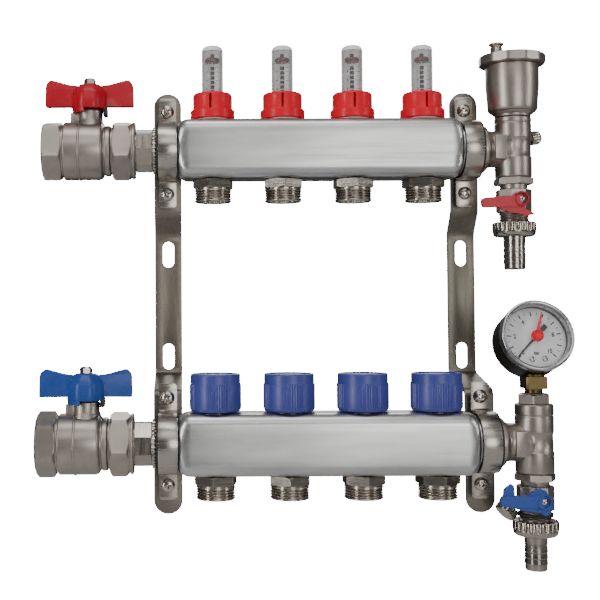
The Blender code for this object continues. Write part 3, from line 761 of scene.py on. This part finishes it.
def make_float(i):
    """The float: a thin white stem with black bands, a dot on top, and a dark red disc."""
    place = at("flow", LOOP_X["flow", i])
    pieces = [shade(turned("stem", [(0, 25), (0.6, 25), (0.6, 68.6), (0, 68.6)], 16, place=place, soft=0),
                    "white")]
    bands = [(BAND_LOW + BAND_PITCH * k, BAND_HIGH + BAND_PITCH * k) for k in range(FLOAT_BANDS)]
    for low, high in bands + [(67.2, 69.2)]:
        band = turned("band", [(0, low), (1.45, low), (1.45, high), (0, high)], 24, place=place, soft=0.1)
        pieces.append(shade(band, "ink"))
    disc = turned("disc", [(1.3, 63.2), (4.6, 63.2), (5.2, 64.2), (5.2, 65.3), (4.6, 66.2), (1.3, 66.2)], 48,
                  place=place, soft=0.3)
    stand_in(join(f"flow_float_{i}_gauge", [*pieces, shade(disc, "float")]), f"flow_float_{i}")


RIB_GROUPS, RIB_SPAN, RIBS_EACH, RIB_DEPTH = 4, 54.0, 10, 0.55


def cap_ribs(angle):
    """Four groups of fine ribs round the cap, with smooth flats between them."""
    here = (math.degrees(angle) + RIB_SPAN / 2) % (360 / RIB_GROUPS)
    if here > RIB_SPAN:
        return 0.25
    return RIB_DEPTH * (0.5 - 0.5 * math.cos(2 * math.pi * here / RIB_SPAN * RIBS_EACH))


def make_return_cap(i):
    """A blue hand cap: ribbed skirt, smooth crown, raised rim and a pale disc in its recess."""
    place = at("return", LOOP_X["return", i])
    ribbed = [Ring(radius, height, cut=cap_ribs)
              for radius, height in ((17.5, 23.6), (17.6, 24.2), (17.6, 39.6), (17.3, 40.2))]
    profile = [(12.9, 21.8), (16.2, 21.8), (16.6, 22.1), *ribbed, (17.0, 40.5), (16.95, 41.0), (16.95, 46.3),
               (16.5, 47.0), (15.9, 47.2), (15.0, 47.2), (14.6, 46.9), (14.4, 44.4), (13.0, 44.2),
               (12.6, 44.5), (12.5, 45.8), (12.1, 46.1), (0, 46.1), (0, 40.5), (12.9, 40.5)]
    cap = turned(f"return_cap_{i}_knob", profile, 360, turn=FRONT + 6, place=place, soft=0.3)
    spindle = turned("spindle", [(0, 41), (3, 41), (3, -11.5), (8.6, -12), (8.6, -15), (0, -15)], place=place)
    disc = turned("disc", [(0, 46.12), (11.7, 46.12), (11.7, 46.3), (0, 46.3)], place=place, soft=0.05)
    pieces = [shade(cap, "blue", 40), shade(spindle, "black"), shade(disc, "blue_disc")]
    stand_in(join(f"return_cap_{i}_knob", pieces), f"return_cap_{i}")


# ---------------------------------------------------------------- ball valves


def make_valve(line):
    """A ball valve with its union, its own Z along the pipe."""
    inlet = (Vector(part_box(f"{line}_valve_body")[0]) / MM).x
    along = {"place": at(line), "rotate": ALONG_X}
    body_turn, nut_turn = (45.5, 46) if line == "flow" else (51, 39)
    profile = [(15.2, inlet + 0.6), (15.9, inlet), (18.6, inlet), (19.2, inlet + 0.3),
               *faceted(22.4, inlet + 0.4, -182.2, chamfer=0.11), (18.6, -182.0), (18.6, -181.0),
               (20.2, -180.8), (20.75, -180.2), (20.75, -170.6), (21.25, -170.2), (21.25, -169.2),
               (20.75, -168.8), (20.75, -155.8), (20.2, -154.0), (18.8, -152.7), (17.5, -152.3),
               (17.4, -151.8), (18.1, -151.2), (18.1, -148.2), (17.2, -147.4), (16.8, -147.2), (16.8, -140),
               (10, -140), (10, -148.5), (16, -152), (16, -173.6), (10, -177), (10, -181), (14.2, -181.3),
               *thread(15.4, -182, inlet + 0.7, 2.3, -0.9)]
    body = turned(f"{line}_valve_casting", profile, turn=body_turn, soft=0.5, **along)
    place = at(line, VALVE_X)
    bonnet = turned("bonnet", [(0, 17), (11.5, 17), (9.9, 20.6), (9.3, 22), (9.3, 28.2), (8.6, 29.1),
                               (0, 29.1)], place=place, soft=0.8)
    stop = plate("stop", soft_outline([(-13.6, 17), (-6, 17), (-6, 27), (-13.6, 27)], 0.9), -4.5, 4.5, place)
    gland = turned("gland", [(0, 28.9), (6.8, 28.9), (6.8, 29.5), (0, 29.5)], place=place)
    pieces = [shade(piece, "nickel") for piece in (body, bonnet, bevel(stop, 0.6))]
    casting = join(f"{line}_valve_casting", [*pieces, shade(gland, "nickel_turned")])
    stand_in(casting, f"{line}_valve_body")
    shade(frame["nodes"][f"{line}_valve_ball"], "chrome")

    nut = turned(f"{line}_union_nut_hex",
                 [(17.3, -146.3), (19.2, -146.3), *faceted(22.5, -146.1, -133.0, chamfer=0.13),
                  (19.6, -132.9), (19.6, -132.5), (20.5, -132.2), (20.5, -130.7), (19.9, -130.1),
                  (14.4, -130.1), (14.4, -136.2), (17.3, -136.2)], turn=nut_turn, soft=0.5, **along)
    stand_in(shade(nut, "nickel"), f"{line}_union_nut")
    teeth = flutes(36, 0.5)
    tail = turned(f"{line}_union_tail_piece",
                  [(10, -139.6), (16.8, -139.6), (16.8, -136.6), (14, -136.6), (14, -129.6), (15.0, -129.4),
                   *faceted(15.6, -129.3, -118.3, sides=8, chamfer=0.03), (15.0, -118.2), (15.2, -118.0),
                   Ring(16.7, -117.6, cut=teeth), Ring(16.7, -115.8, cut=teeth), (16.0, -115.4),
                   (16.0, -114.8), (14.4, -114.8), (14.4, -104), (10, -104)], 216,
                  turn=0 if line == "flow" else 22.5, **along)
    stand_in(shade(tail, "nickel_turned"), f"{line}_union_tail")


def make_handle(line):
    """The butterfly handle: faceted hub with a domed top, two flared wings and a skirt tab."""
    place = at(line, VALVE_X)
    sides = [(13.5, 29.6), (13.7, 30.6), (13.4, 40.6), (12.4, 42.3), (8.7, 46.7), (7.4, 47.6)]
    hub = turned("hub", [(4.2, 29.6), *(Ring(corner, height, 8, corner * 0.96) for corner, height in sides),
                         (4.2, 47.9)], place=place, soft=0.8, turn=22.5)
    right = soft_outline([(7, 31.8), (31.6, 31.6), (31.3, 47.2), (28.0, 51.0), (14.0, 47.1), (7, 46.4)],
                         [0, 1.2, 3, 3.5, 5, 0])
    wings = [plate("wing", wing, -3.4, 3.4, place) for wing in (right, [(-x, z) for x, z in reversed(right)])]
    skirt = turned("skirt", [(10.6, 26.8), (12.5, 26.8), (12.5, 36), (10.6, 36)], place=place, soft=0.3)
    keep = plate("keep", [(-14, 26), (-3.2, 26), (-3.2, 37), (-14, 37)], -14, 14, place)
    combine(skirt, [keep], "INTERSECT")
    combine(hub, [*wings, skirt], "UNION")
    bevel(hub, 0.7, 3, 40)
    lug = plate("lug", soft_outline([(9.8, 25), (12.8, 25), (12.8, 31), (9.8, 31)], 0.6), -6, 6, place)
    nut = turned("nut", [(0, 47.4), *faceted(4.4, 48.0, 51.2, chamfer=0.06), (3.1, 51.3), (3.0, 52.2),
                         (0, 52.4)], place=place, soft=0.2, turn=12)
    handle = join(f"{line}_butterfly_handle",
                  [shade(hub, PAINT_OF[line], 40), shade(bevel(lug, 0.3), "black"),
                   shade(nut, "nickel_turned")])
    stand_in(handle, f"{line}_valve_handle")


# ---------------------------------------------------------------- end tees, air vent and drains


def make_tee(line):
    """The end tee: cast barrel with a waist, cone branch with a spanner flat, and its gasket."""
    x, place = TEE_X[line], at(line, TEE_X[line])
    profile = [(0, -20.8), (11.9, -20.8), (12.6, -20.2), (12.8, -19.6), (12.8, -6.4), (12.3, -5.8),
               (12.2, 6.6), (12.8, 7.4), (12.8, 17.6)]
    if line == "flow":
        profile += [(12.5, 18), (12.5, 18.6), (12.8, 19.0), (12.8, 21.8), (12.2, 22.3), (0, 22.3)]
    else:
        profile += [(12.4, 17.9), (12.4, 18.5), (12.8, 18.9), (12.8, 25.2), (12.0, 26.0), (10.0, 26.1),
                    *faceted(11.6, 26.2, 32.9, chamfer=0.22, low_cut=False), (8.6, 33), (0, 33)]
    barrel = turned(f"{line}_tee_casting", profile, place=place, soft=0.5, turn=11)
    branch = turned("branch",
                    [(0, 104), (14.4, 104), (14.4, 114.8), (16.6, 114.9), (16.6, 118.4), (14.6, 119.9),
                     (13.3, 121.4), (13.0, 122.6), (13.0, x - 6.4), (12.6, x - 4.4), (11.6, x - 2.9),
                     (10, x - 2), (0, x - 2)], place=at(line), rotate=ALONG_X, soft=0.8)
    flat = plate("flat", soft_outline([(-16.5, -8.5), (-8.5, -8.5), (-8.5, 8.5), (-16.5, 8.5)], 0.8),
                 -14.0, 0, place)
    combine(barrel, [branch, bevel(flat, 0.35)], "UNION")
    bevel(barrel, 0.5, 2, 42)
    stand_in(shade(barrel, "nickel", 40), f"{line}_end_tee")
    gasket = turned(f"{line}_drain_gasket", [(6, -21.7), (12.1, -21.7), (12.1, -20.7), (6, -20.7)],
                    place=place, soft=0.3)
    add_on(shade(gasket, "rubber"), f"{line}_end_tee")


def make_air_vent():
    """The air vent: cup, many-sided lid with a small outlet, and the dust cap on the outlet."""
    place, outlet = at("flow", TEE_X["flow"]), middle("air_vent_dust_cap")
    outlet.z = AXIS["flow"].z
    cup = turned("air_vent_cup",
                 [(3.4, 22.6), (12.4, 22.6), (12.6, 24.2), (14.0, 25.0), (15.0, 26.3), (16.4, 26.7),
                  (17.1, 28.2), (17.3, 30), (18.5, 46), (18.5, 59.6), (16.4, 59.6), (16, 30.5), (3.4, 30.5)],
                 place=place, soft=0.5)
    lid = turned("lid", [(0, 64), (16, 64), (16, 59.7), (19.6, 59.7), (20.4, 60.0),
                         *faceted(23.2, 60.2, 66.9, sides=12, chamfer=0.05), (20.6, 67.3), (17.5, 67.8),
                         (0, 67.8)], place=place, turn=7, soft=0.5)
    neck = turned("neck", [(0, 66), (3.4, 66), (3.0, 70.2), (3.0, 73.5), (0, 73.5)], place=outlet, soft=0.3)
    vent = join("air_vent_body", [shade(cup, "nickel"), shade(lid, "nickel"), shade(neck, "nickel_turned")])
    stand_in(vent, "air_vent_housing")
    knurl = flutes(18, 0.25)
    cap = turned("air_vent_dust_cap_knob",
                 [(3.4, 68.3), (4.0, 68.3), Ring(4.2, 68.8, cut=knurl), Ring(4.2, 73.2, cut=knurl),
                  (3.8, 73.6), (3.8, 74.4), (4.9, 74.6), (5.25, 75.0), (5.25, 75.8), (4.7, 76.3),
                  (3.4, 76.6), (0, 76.6), (0, 74.6), (3.4, 74.6)], place=outlet, soft=0.25)
    stand_in(shade(cap, "nickel_turned"), "air_vent_dust_cap")
    shade(frame["nodes"]["air_vent_float"], "white")


def make_bleed_screw():
    """The knurled bleed screw at the back of the upper tee."""
    joint, knurl = JOINTS["bleed_screw_turn"], flutes(20, 0.5)
    knob = turned("bleed_screw_knob",
                  [(0, 9), (3, 9), (3, 14.4), (4.5, 14.4), Ring(5.1, 15, cut=knurl),
                   Ring(5.1, 20.6, cut=knurl), (4.4, 21.6), (2.0, 21.8), (0, 21.4)], 80,
                  place=Vector(joint["pos_m"]) / MM, soft=0.3)
    knob.rotation_euler = Vector(joint["axis"]).to_track_quat("Z", "Y").to_euler()
    stand_in(shade(knob, "nickel_turned"), "bleed_screw")


DRAIN_PIVOT = 37.3  # how far the lever turns below the bar's axis
LEVER_BACK = 14.3  # how far the lever's back stands in front of it


def make_drain(line):
    """The drain valve: body, lever with its screw, fluted hose nut and barbed hose tail."""
    place, pivot = at(line, TEE_X[line]), at(line, TEE_X[line], -DRAIN_PIVOT)
    flange = turned("flange", [(4, -20.9), (12.6, -20.9), *faceted(14.1, -21.0, -25.6, chamfer=0.06),
                               (9.6, -25.8), (9.5, -29.0), (4, -29.0)], turn=30 if line == "flow" else 0,
                    place=place)
    body = turned("body", [(4, -28.9), (11.6, -29.2), *faceted(12.45, -29.4, -45.2, sides=8, chamfer=0.04),
                           (10.0, -45.5), *thread(10.5, -45.8, -56.4, 1.81, 0.9), (10, -57), (4, -57)],
                  turn=22.5, place=place)
    boss = turned("boss", [(0, 8), (6.2, 8), (5.4, 12.4), (5.2, 14), (0, 14)], place=pivot, rotate=TOWARDS_US)
    casting = join(f"{line}_drain_casting", [shade(piece, "nickel") for piece in (flange, body, boss)])
    stand_in(casting, f"{line}_drain_body")
    make_drain_lever(line, pivot)

    grip = lobes(20, 1.3)
    nut = turned(f"{line}_hose_nut_ring",
                 [(10.9, -52.3), (14.0, -52.3), Ring(15.0, -52.8, cut=grip), Ring(15.15, -53.4, cut=grip),
                  Ring(15.15, -58.2, cut=grip), (15.0, -58.8), (14.9, -59.6), (14.4, -61.4), (13.4, -62.4),
                  (12.6, -62.6), (8.7, -62.6), (8.7, -60.2), (10.9, -60.2)], 320, place=place, soft=0.3)
    stand_in(shade(nut, "nickel_turned", 40), f"{line}_hose_nut")
    end = (Vector(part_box(f"{line}_hose_tail")[0]) / MM).z - AXIS[line].z
    barbs = [(radius, low + rise) for low in (-73.5, -77.5, -81.5)
             for radius, rise in ((7.4, 3.4), (7.75, 0.5), (7.75, 0.1), (7.4, -0.2))]
    tail = turned(f"{line}_hose_tail_barb",
                  [(4.6, -57.4), (10.4, -57.4), (10.4, -59.8), (7.9, -59.8), (7.6, -66), *barbs,
                   (7.3, end + 0.9), (6.7, end), (5.4, end), (4.6, end + 1.2)], place=place, soft=0.25)
    stand_in(shade(tail, "nickel_turned"), f"{line}_hose_tail")


LEVERS = {  # the outline of the arm and then of its wings, each with the radius at every corner
    "flow": (([(0, 2.9), (-25, 1.1), (-27.4, 0.5), (-28.2, -2.6), (-26.9, -5.9), (-9, -5.4), (0, -5.0)],
              [0, 0, 1.6, 2, 1.6, 4, 0]),
             ([(-16.5, -4), (-15.7, -6.2), (-8.3, -9.1), (0, -10.3), (3.3, -12), (9.9, -10.7), (5.4, -7.9),
               (2.9, -7.2), (2.5, -3)], [0, 2, 3, 2, 2, 1.6, 1.5, 1, 0])),
    "return": (([(0, 4.2), (-9, 3.8), (-27.4, 3.8), (-29.2, 0.4), (-27.6, -3.2), (-9, -3.6), (0, -4.4)],
                [0, 3, 2, 2.4, 2, 4, 0]),
               ([(-21.5, -2), (-20.9, -4), (-12.3, -6.3), (-2, -7.4), (0.5, -9.6), (3.5, -8.8), (6.4, -4.6),
                 (5.5, -2)], [0, 2, 3, 2, 1.5, 2, 2, 0]),
               ([(-26.5, 2), (-26.2, 8), (-21.2, 11.9), (-19.4, 10.6), (-18.8, 2)], [0, 1.2, 1, 1, 0]),
               ([(-11, 2), (-9, 5.4), (-2.8, 8.7), (2.4, 6.7), (3, 2)], [0, 2, 3, 2, 0]))}


def make_drain_lever(line, pivot):
    """The lever: a ring round its screw, a thick arm, and thinner wings beside it."""
    arm, *wings = [plate("arm", soft_outline(*outline), -18.6 if k == 0 else -17.2, -LEVER_BACK, pivot)
                   for k, outline in enumerate(LEVERS[line])]
    facing = {"place": pivot, "rotate": TOWARDS_US}
    ring = turned("ring", [(0, LEVER_BACK), (5.2, LEVER_BACK), (5.5, 15.0), (5.4, 18.4), (4.9, 19.0),
                           (4.1, 18.8), (3.8, 17.0), (0, 17.0)], soft=0.3, **facing)
    bevel(combine(arm, [*wings, ring], "UNION"), 0.7, 3, 40)
    well = turned("well", [(0, 16.9), (3.75, 16.9), (3.75, 17.1), (0, 17.1)], soft=0, **facing)
    screw = link(SCREW.copy())
    screw.location = (pivot + Vector((0, -17.1, 0))) * MM
    screw.scale = (0.5, 0.5, 0.6)
    screw.rotation_euler = (math.radians(90), math.radians(20), 0)
    lever = join(f"{line}_drain_handle", [shade(arm, PAINT_OF[line], 40), shade(well, "black"), screw])
    stand_in(lever, f"{line}_drain_lever")


def make_blanking_cap():
    """The blanking cap that hangs beside the return drain on a short black strap."""
    place, knurl = at("return", TEE_X["return"]), flutes(24, 0.35)
    spot = place + Vector((-19.4, 0.8, -46.1))
    cap = turned("cap", [(0, -3.4), (6.4, -3.4), (7.3, -2.5), Ring(7.4, -1.8, cut=knurl),
                         Ring(7.4, 2.6, cut=knurl), (7.0, 3.2), (5.8, 3.2), (5.8, -1.4), (0, -1.4)], 144,
                 place=spot)
    cap.rotation_euler = Vector((-0.70, -0.20, -0.68)).to_track_quat("-Z", "Y").to_euler()
    strap = rod("strap", 1.3, spot + Vector((1, 0.5, 0.5)), place + Vector((-9.8, 1, -48.6)))
    collar = turned("collar", [(10.5, -49.6), (11.6, -49.6), (11.6, -47.4), (10.5, -47.4)], place=place,
                    soft=0.3)
    pieces = [shade(cap, "nickel_turned"), shade(strap, "rubber"), shade(collar, "rubber")]
    add_on(join("return_drain_blanking_cap", pieces), "return_drain_body")


# ---------------------------------------------------------------- pressure gauge

FIRST_MARK, SWEEP, MARKS = 226.5, 273.0, 10
CASE_BACK, DIAL, CASE_FRONT = -14.3, 3.0, 12.5  # heights along the gauge's own Z
GAUGE_ROLL = 2.5
GAUGE_OUT = -Vector(JOINTS["gauge_pointer_turn"]["axis"])
GAUGE_LEAN = 90 - math.degrees(math.asin(GAUGE_OUT.z))
GAUGE_CENTRE = Vector(JOINTS["gauge_pointer_turn"]["pos_m"]) / MM


def face_out(obj):
    """Puts a piece on the gauge: its own Z points out of the dial and its own Y up it."""
    obj.location = GAUGE_CENTRE * MM
    obj.rotation_euler = (math.radians(GAUGE_LEAN), 0, 0)
    return obj


def flat_mark(radius_in, radius_out, width, angle):
    """A straight printed line on the dial, pointing at its middle."""
    corners = [(r, s * width / 2, h) for r in (radius_in, radius_out) for s in (-1, 1) for h in (0, 0.06)]
    return spin(add_object("mark", corners, [(0, 2, 3, 1), (4, 5, 7, 6), (0, 1, 5, 4), (2, 6, 7, 3),
                                             (1, 3, 7, 5), (0, 4, 6, 2)]), angle)


def dial_text(words, size, narrow, x, y):
    text = text_shape(words, size, "ink")
    text.data.transform(Matrix.Diagonal((narrow, 1, 1, 1)))
    return shift(text, x, y, 0.03)


def make_gauge():
    """The pressure gauge: case, bezel, printed dial with its two screws, lens, hands and socket."""
    case = turned("case", [(0, CASE_BACK), (23.5, CASE_BACK), (24.2, CASE_BACK + 0.8), (24.2, 6.4),
                           (21.4, 6.4), (21.4, DIAL - 0.3), (0, DIAL - 0.3)], soft=0.8)
    bezel = turned("bezel", [(24.1, 5.4), (24.5, 5.4), (24.7, 6.0), (24.7, 11.0), (24.3, 12.0),
                             (23.4, CASE_FRONT), (22.3, 12.3), (21.8, 11.6), (21.4, 9.4), (21.2, 6.6),
                             (24.1, 6.5)])
    face = turned("face", [(0, DIAL - 0.5), (21.3, DIAL - 0.5), (21.3, DIAL), (0, DIAL)], soft=0.05)
    body = join("gauge_case_body", [shade(case, "case"), shade(bezel, "bezel"), shade(face, "dial")])
    stand_in(face_out(body), "gauge_case")

    marks = []
    for k in range(2 * MARKS + 1):
        start, width, ink = (16.8, 0.4, "ink_grey") if k % 2 else (15.5, 0.8, "ink")
        marks.append(shade(flat_mark(start, 18.6, width, FIRST_MARK - SWEEP * k / (2 * MARKS)), ink))
    for value in range(0, MARKS + 1, 2):
        angle = math.radians(FIRST_MARK - SWEEP * value / MARKS)
        marks.append(dial_text(str(value), 4.4, 0.78, 13.1 * math.cos(angle), 13.1 * math.sin(angle)))
    dial_print = join("gauge_dial_print", [*marks, dial_text("bar", 3.8, 0.72, 0, -10.2)])
    add_on(face_out(shift(spin(dial_print, GAUGE_ROLL), 0, 0, DIAL)), "gauge_case")
    for side, across in (("left", -3.6), ("right", 5.1)):
        screw = turned(f"gauge_dial_screw_{side}",
                       [(0, DIAL), (2.0, DIAL), (2.0, DIAL + 0.5), (1.4, DIAL + 0.9), (0, DIAL + 1)], 32,
                       soft=0.2)
        spin(shift(screw, across, -14.3, 0), GAUGE_ROLL)
        add_on(face_out(shade(screw, "nickel_turned")), "gauge_case")

    lens = turned("gauge_lens_disc", [(0, 10.2), (20.8, 9.6), (20.8, 10.6), (0, 11.4)], soft=0.1)
    add_on(face_out(shade(lens, "lens")), "gauge_case")
    make_hands()

    socket = turned("gauge_socket_square",
                    [(2, 33.1), (5.9, 33.1), (5.9, 35.7), (6.6, 35.9),
                     *faceted(10.2, 36.0, 44.4, sides=4, chamfer=0.06), (6.4, 44.6), (6, 47.2), (2, 47.2)],
                    place=at("return", TEE_X["return"]), turn=45)
    stand_in(shade(socket, "brass"), "gauge_socket")


def hand_angle(node):
    """Where a hand points on the dial, counted from straight up, read from the frame's solid."""
    turn = Matrix.Rotation(math.radians(GAUGE_LEAN), 4, "X").inverted()
    corners = [turn @ (v.co / MM - GAUGE_CENTRE) for v in frame["nodes"][node].data.vertices]
    tip = max(corners, key=lambda p: math.hypot(p.x, p.y))
    return math.degrees(math.atan2(tip.y, tip.x)) - 90


def make_hands():
    """The black pointer on the dial and the red marker hand on its hub under the lens."""
    low = -DIAL - 1.0
    pointer = plate("pointer", [(-0.75, 0), (-0.45, 17.9), (0.45, 17.9), (0.75, 0)], low, low + 0.3)
    weight = plate("weight", [(-0.45, 0), (0.45, 0), (0.45, -7.6), (1.7, -7.6), (1.7, -12.3), (-1.7, -12.3),
                              (-1.7, -7.6), (-0.45, -7.6)], low, low + 0.3)
    hub = turned("hub", [(0, DIAL + 0.2), (1.8, DIAL + 0.2), (1.8, DIAL + 1.4), (0, DIAL + 1.4)], 32)
    marker = plate("marker", soft_outline([(-1.5, 0), (-0.45, 17.4), (0, 18.4), (0.45, 17.4), (1.5, 0)], 0.3),
                   -8.3, -7.8)
    knob = turned("knob", [(0, 7.5), (3.3, 7.5), (4.0, 8.2), (4.0, 11.3), (3.4, 12.0), (2.6, 11.8),
                           (2.3, 11.2), (0, 11.0)], 48, soft=0.3)
    for node, ink, flats, boss in (("gauge_pointer", "ink", (pointer, weight), hub),
                                   ("gauge_marker", "red", (marker,), knob)):
        angle = hand_angle(node)
        pieces = [spin(spin(flat, -90, "X"), angle) for flat in flats]
        stand_in(face_out(join(f"{node}_hand", [shade(piece, ink) for piece in (*pieces, boss)])), node)


# ---------------------------------------------------------------- studio

FLOOR, FLOOR_BACK, FLOOR_REACH = -520.0, 620, 2500
FOCAL, CAMERA_SHIFT, CAMERA, CAMERA_UP, CAMERA_ROLL = 1050, (0.191, -0.043), (-95, -781, -12), 1.98, -0.26
IMAGE, SENSOR = 600, 36
WHITE_SKY = 22.0  # what the camera sees behind the object
SKY = (  # height from straight down to straight up, and how bright the studio is there
    (-1.0, 0.02), (-0.35, 0.02), (-0.05, 0.05), (0.10, 0.10), (0.45, 0.10), (0.8, 0.2), (1.0, 0.3))
LIGHTS = (  # name, place, width, height, watts; each faces the middle of the object
    ("front", (420, -1700, 70), 660, 760, 6.2),
    ("high_front", (0, -1250, 950), 1200, 600, 3.9),
    ("left_strip", (-900, -700, 150), 110, 900, 5),
    ("right_strip", (1000, -500, 250), 110, 700, 2.0),
    ("top", (-100, -350, 1000), 700, 350, 3),
    ("back", (200, 1500, 800), 1200, 700, 9),
)


def make_world():
    """White behind the object, and for its reflections a studio that is dark below and pale above."""
    world = bpy.data.worlds.new("studio")
    bpy.context.scene.world = world
    world.use_nodes = True
    tree = world.node_tree
    nodes, links = tree.nodes, tree.links
    white, room = nodes["Background"], nodes.new("ShaderNodeBackground")
    white.inputs["Color"].default_value = (1, 1, 1, 1)
    white.inputs["Strength"].default_value = WHITE_SKY
    coordinates, parts = nodes.new("ShaderNodeTexCoord"), nodes.new("ShaderNodeSeparateXYZ")
    links.new(coordinates.outputs["Generated"], parts.inputs["Vector"])
    ramp = nodes.new("ShaderNodeValToRGB")
    stops = ramp.color_ramp.elements
    for z, bright in SKY:
        if -1 < z < 1:
            stop = stops.new((z + 1) / 2)
        else:
            stop = stops[0] if z < 0 else stops[-1]
            stop.position = (z + 1) / 2
        stop.color = (bright, bright, bright * 1.02, 1)
    links.new(spread(tree, parts.outputs["Z"], 0, 1, -1, 1), ramp.inputs["Fac"])
    links.new(ramp.outputs["Color"], room.inputs["Color"])
    mix, seen = nodes.new("ShaderNodeMixShader"), nodes.new("ShaderNodeLightPath")
    links.new(seen.outputs["Is Camera Ray"], mix.inputs["Fac"])
    links.new(room.outputs["Background"], mix.inputs[1])
    links.new(white.outputs["Background"], mix.inputs[2])
    links.new(mix.outputs["Shader"], nodes["World Output"].inputs["Surface"])


def make_studio():
    """A pale floor, soft lights and the camera."""
    edges = [(x, y, FLOOR) for x, y in ((-FLOOR_REACH, -FLOOR_REACH), (FLOOR_REACH, -FLOOR_REACH),
                                        (FLOOR_REACH, FLOOR_BACK), (-FLOOR_REACH, FLOOR_BACK))]
    floor = add_object("floor", edges, [(0, 1, 2, 3)])
    floor.data.materials.append(surface("floor_pale", (0.7, 0.7, 0.7), 0.8, grain=20, bump=0, mottle=0.01))
    make_world()

    camera = link(bpy.data.objects.new("camera", bpy.data.cameras.new("camera")))
    bpy.context.scene.camera = camera
    camera.data.sensor_width = SENSOR
    camera.data.lens = FOCAL * SENSOR / IMAGE
    camera.data.shift_x, camera.data.shift_y = CAMERA_SHIFT
    camera.location = Vector(CAMERA) * MM
    camera.rotation_euler = (Matrix.Rotation(math.radians(90 + CAMERA_UP), 4, "X")
                             @ Matrix.Rotation(math.radians(CAMERA_ROLL), 4, "Z")).to_euler()

    for name, place, width, height, watts in LIGHTS:
        light = link(bpy.data.objects.new(name, bpy.data.lights.new(name, "AREA")))
        light.data.shape = "RECTANGLE"
        light.data.size, light.data.size_y = width * MM, height * MM
        light.data.energy = watts
        light.location = Vector(place) * MM
        light.rotation_euler = Vector(place).to_track_quat("Z", "Y").to_euler()


SCREW = make_screw()
make_studio()
for bar_line in AXIS:
    for make in (make_bar, make_valve, make_handle, make_tee, make_drain):
        make(bar_line)
    for bar_side in STRAP_X:
        make_clamp(bar_line, bar_side)
    for loop in LOOPS:
        make_port(bar_line, loop)
for bar_side in STRAP_X:
    make_bracket(bar_side)
for loop in LOOPS:
    for make in (make_collar, make_sight_tube, make_float, make_return_cap):
        make(loop)
make_air_vent()
make_bleed_screw()
make_gauge()
make_blanking_cap()
remove(SCREW)
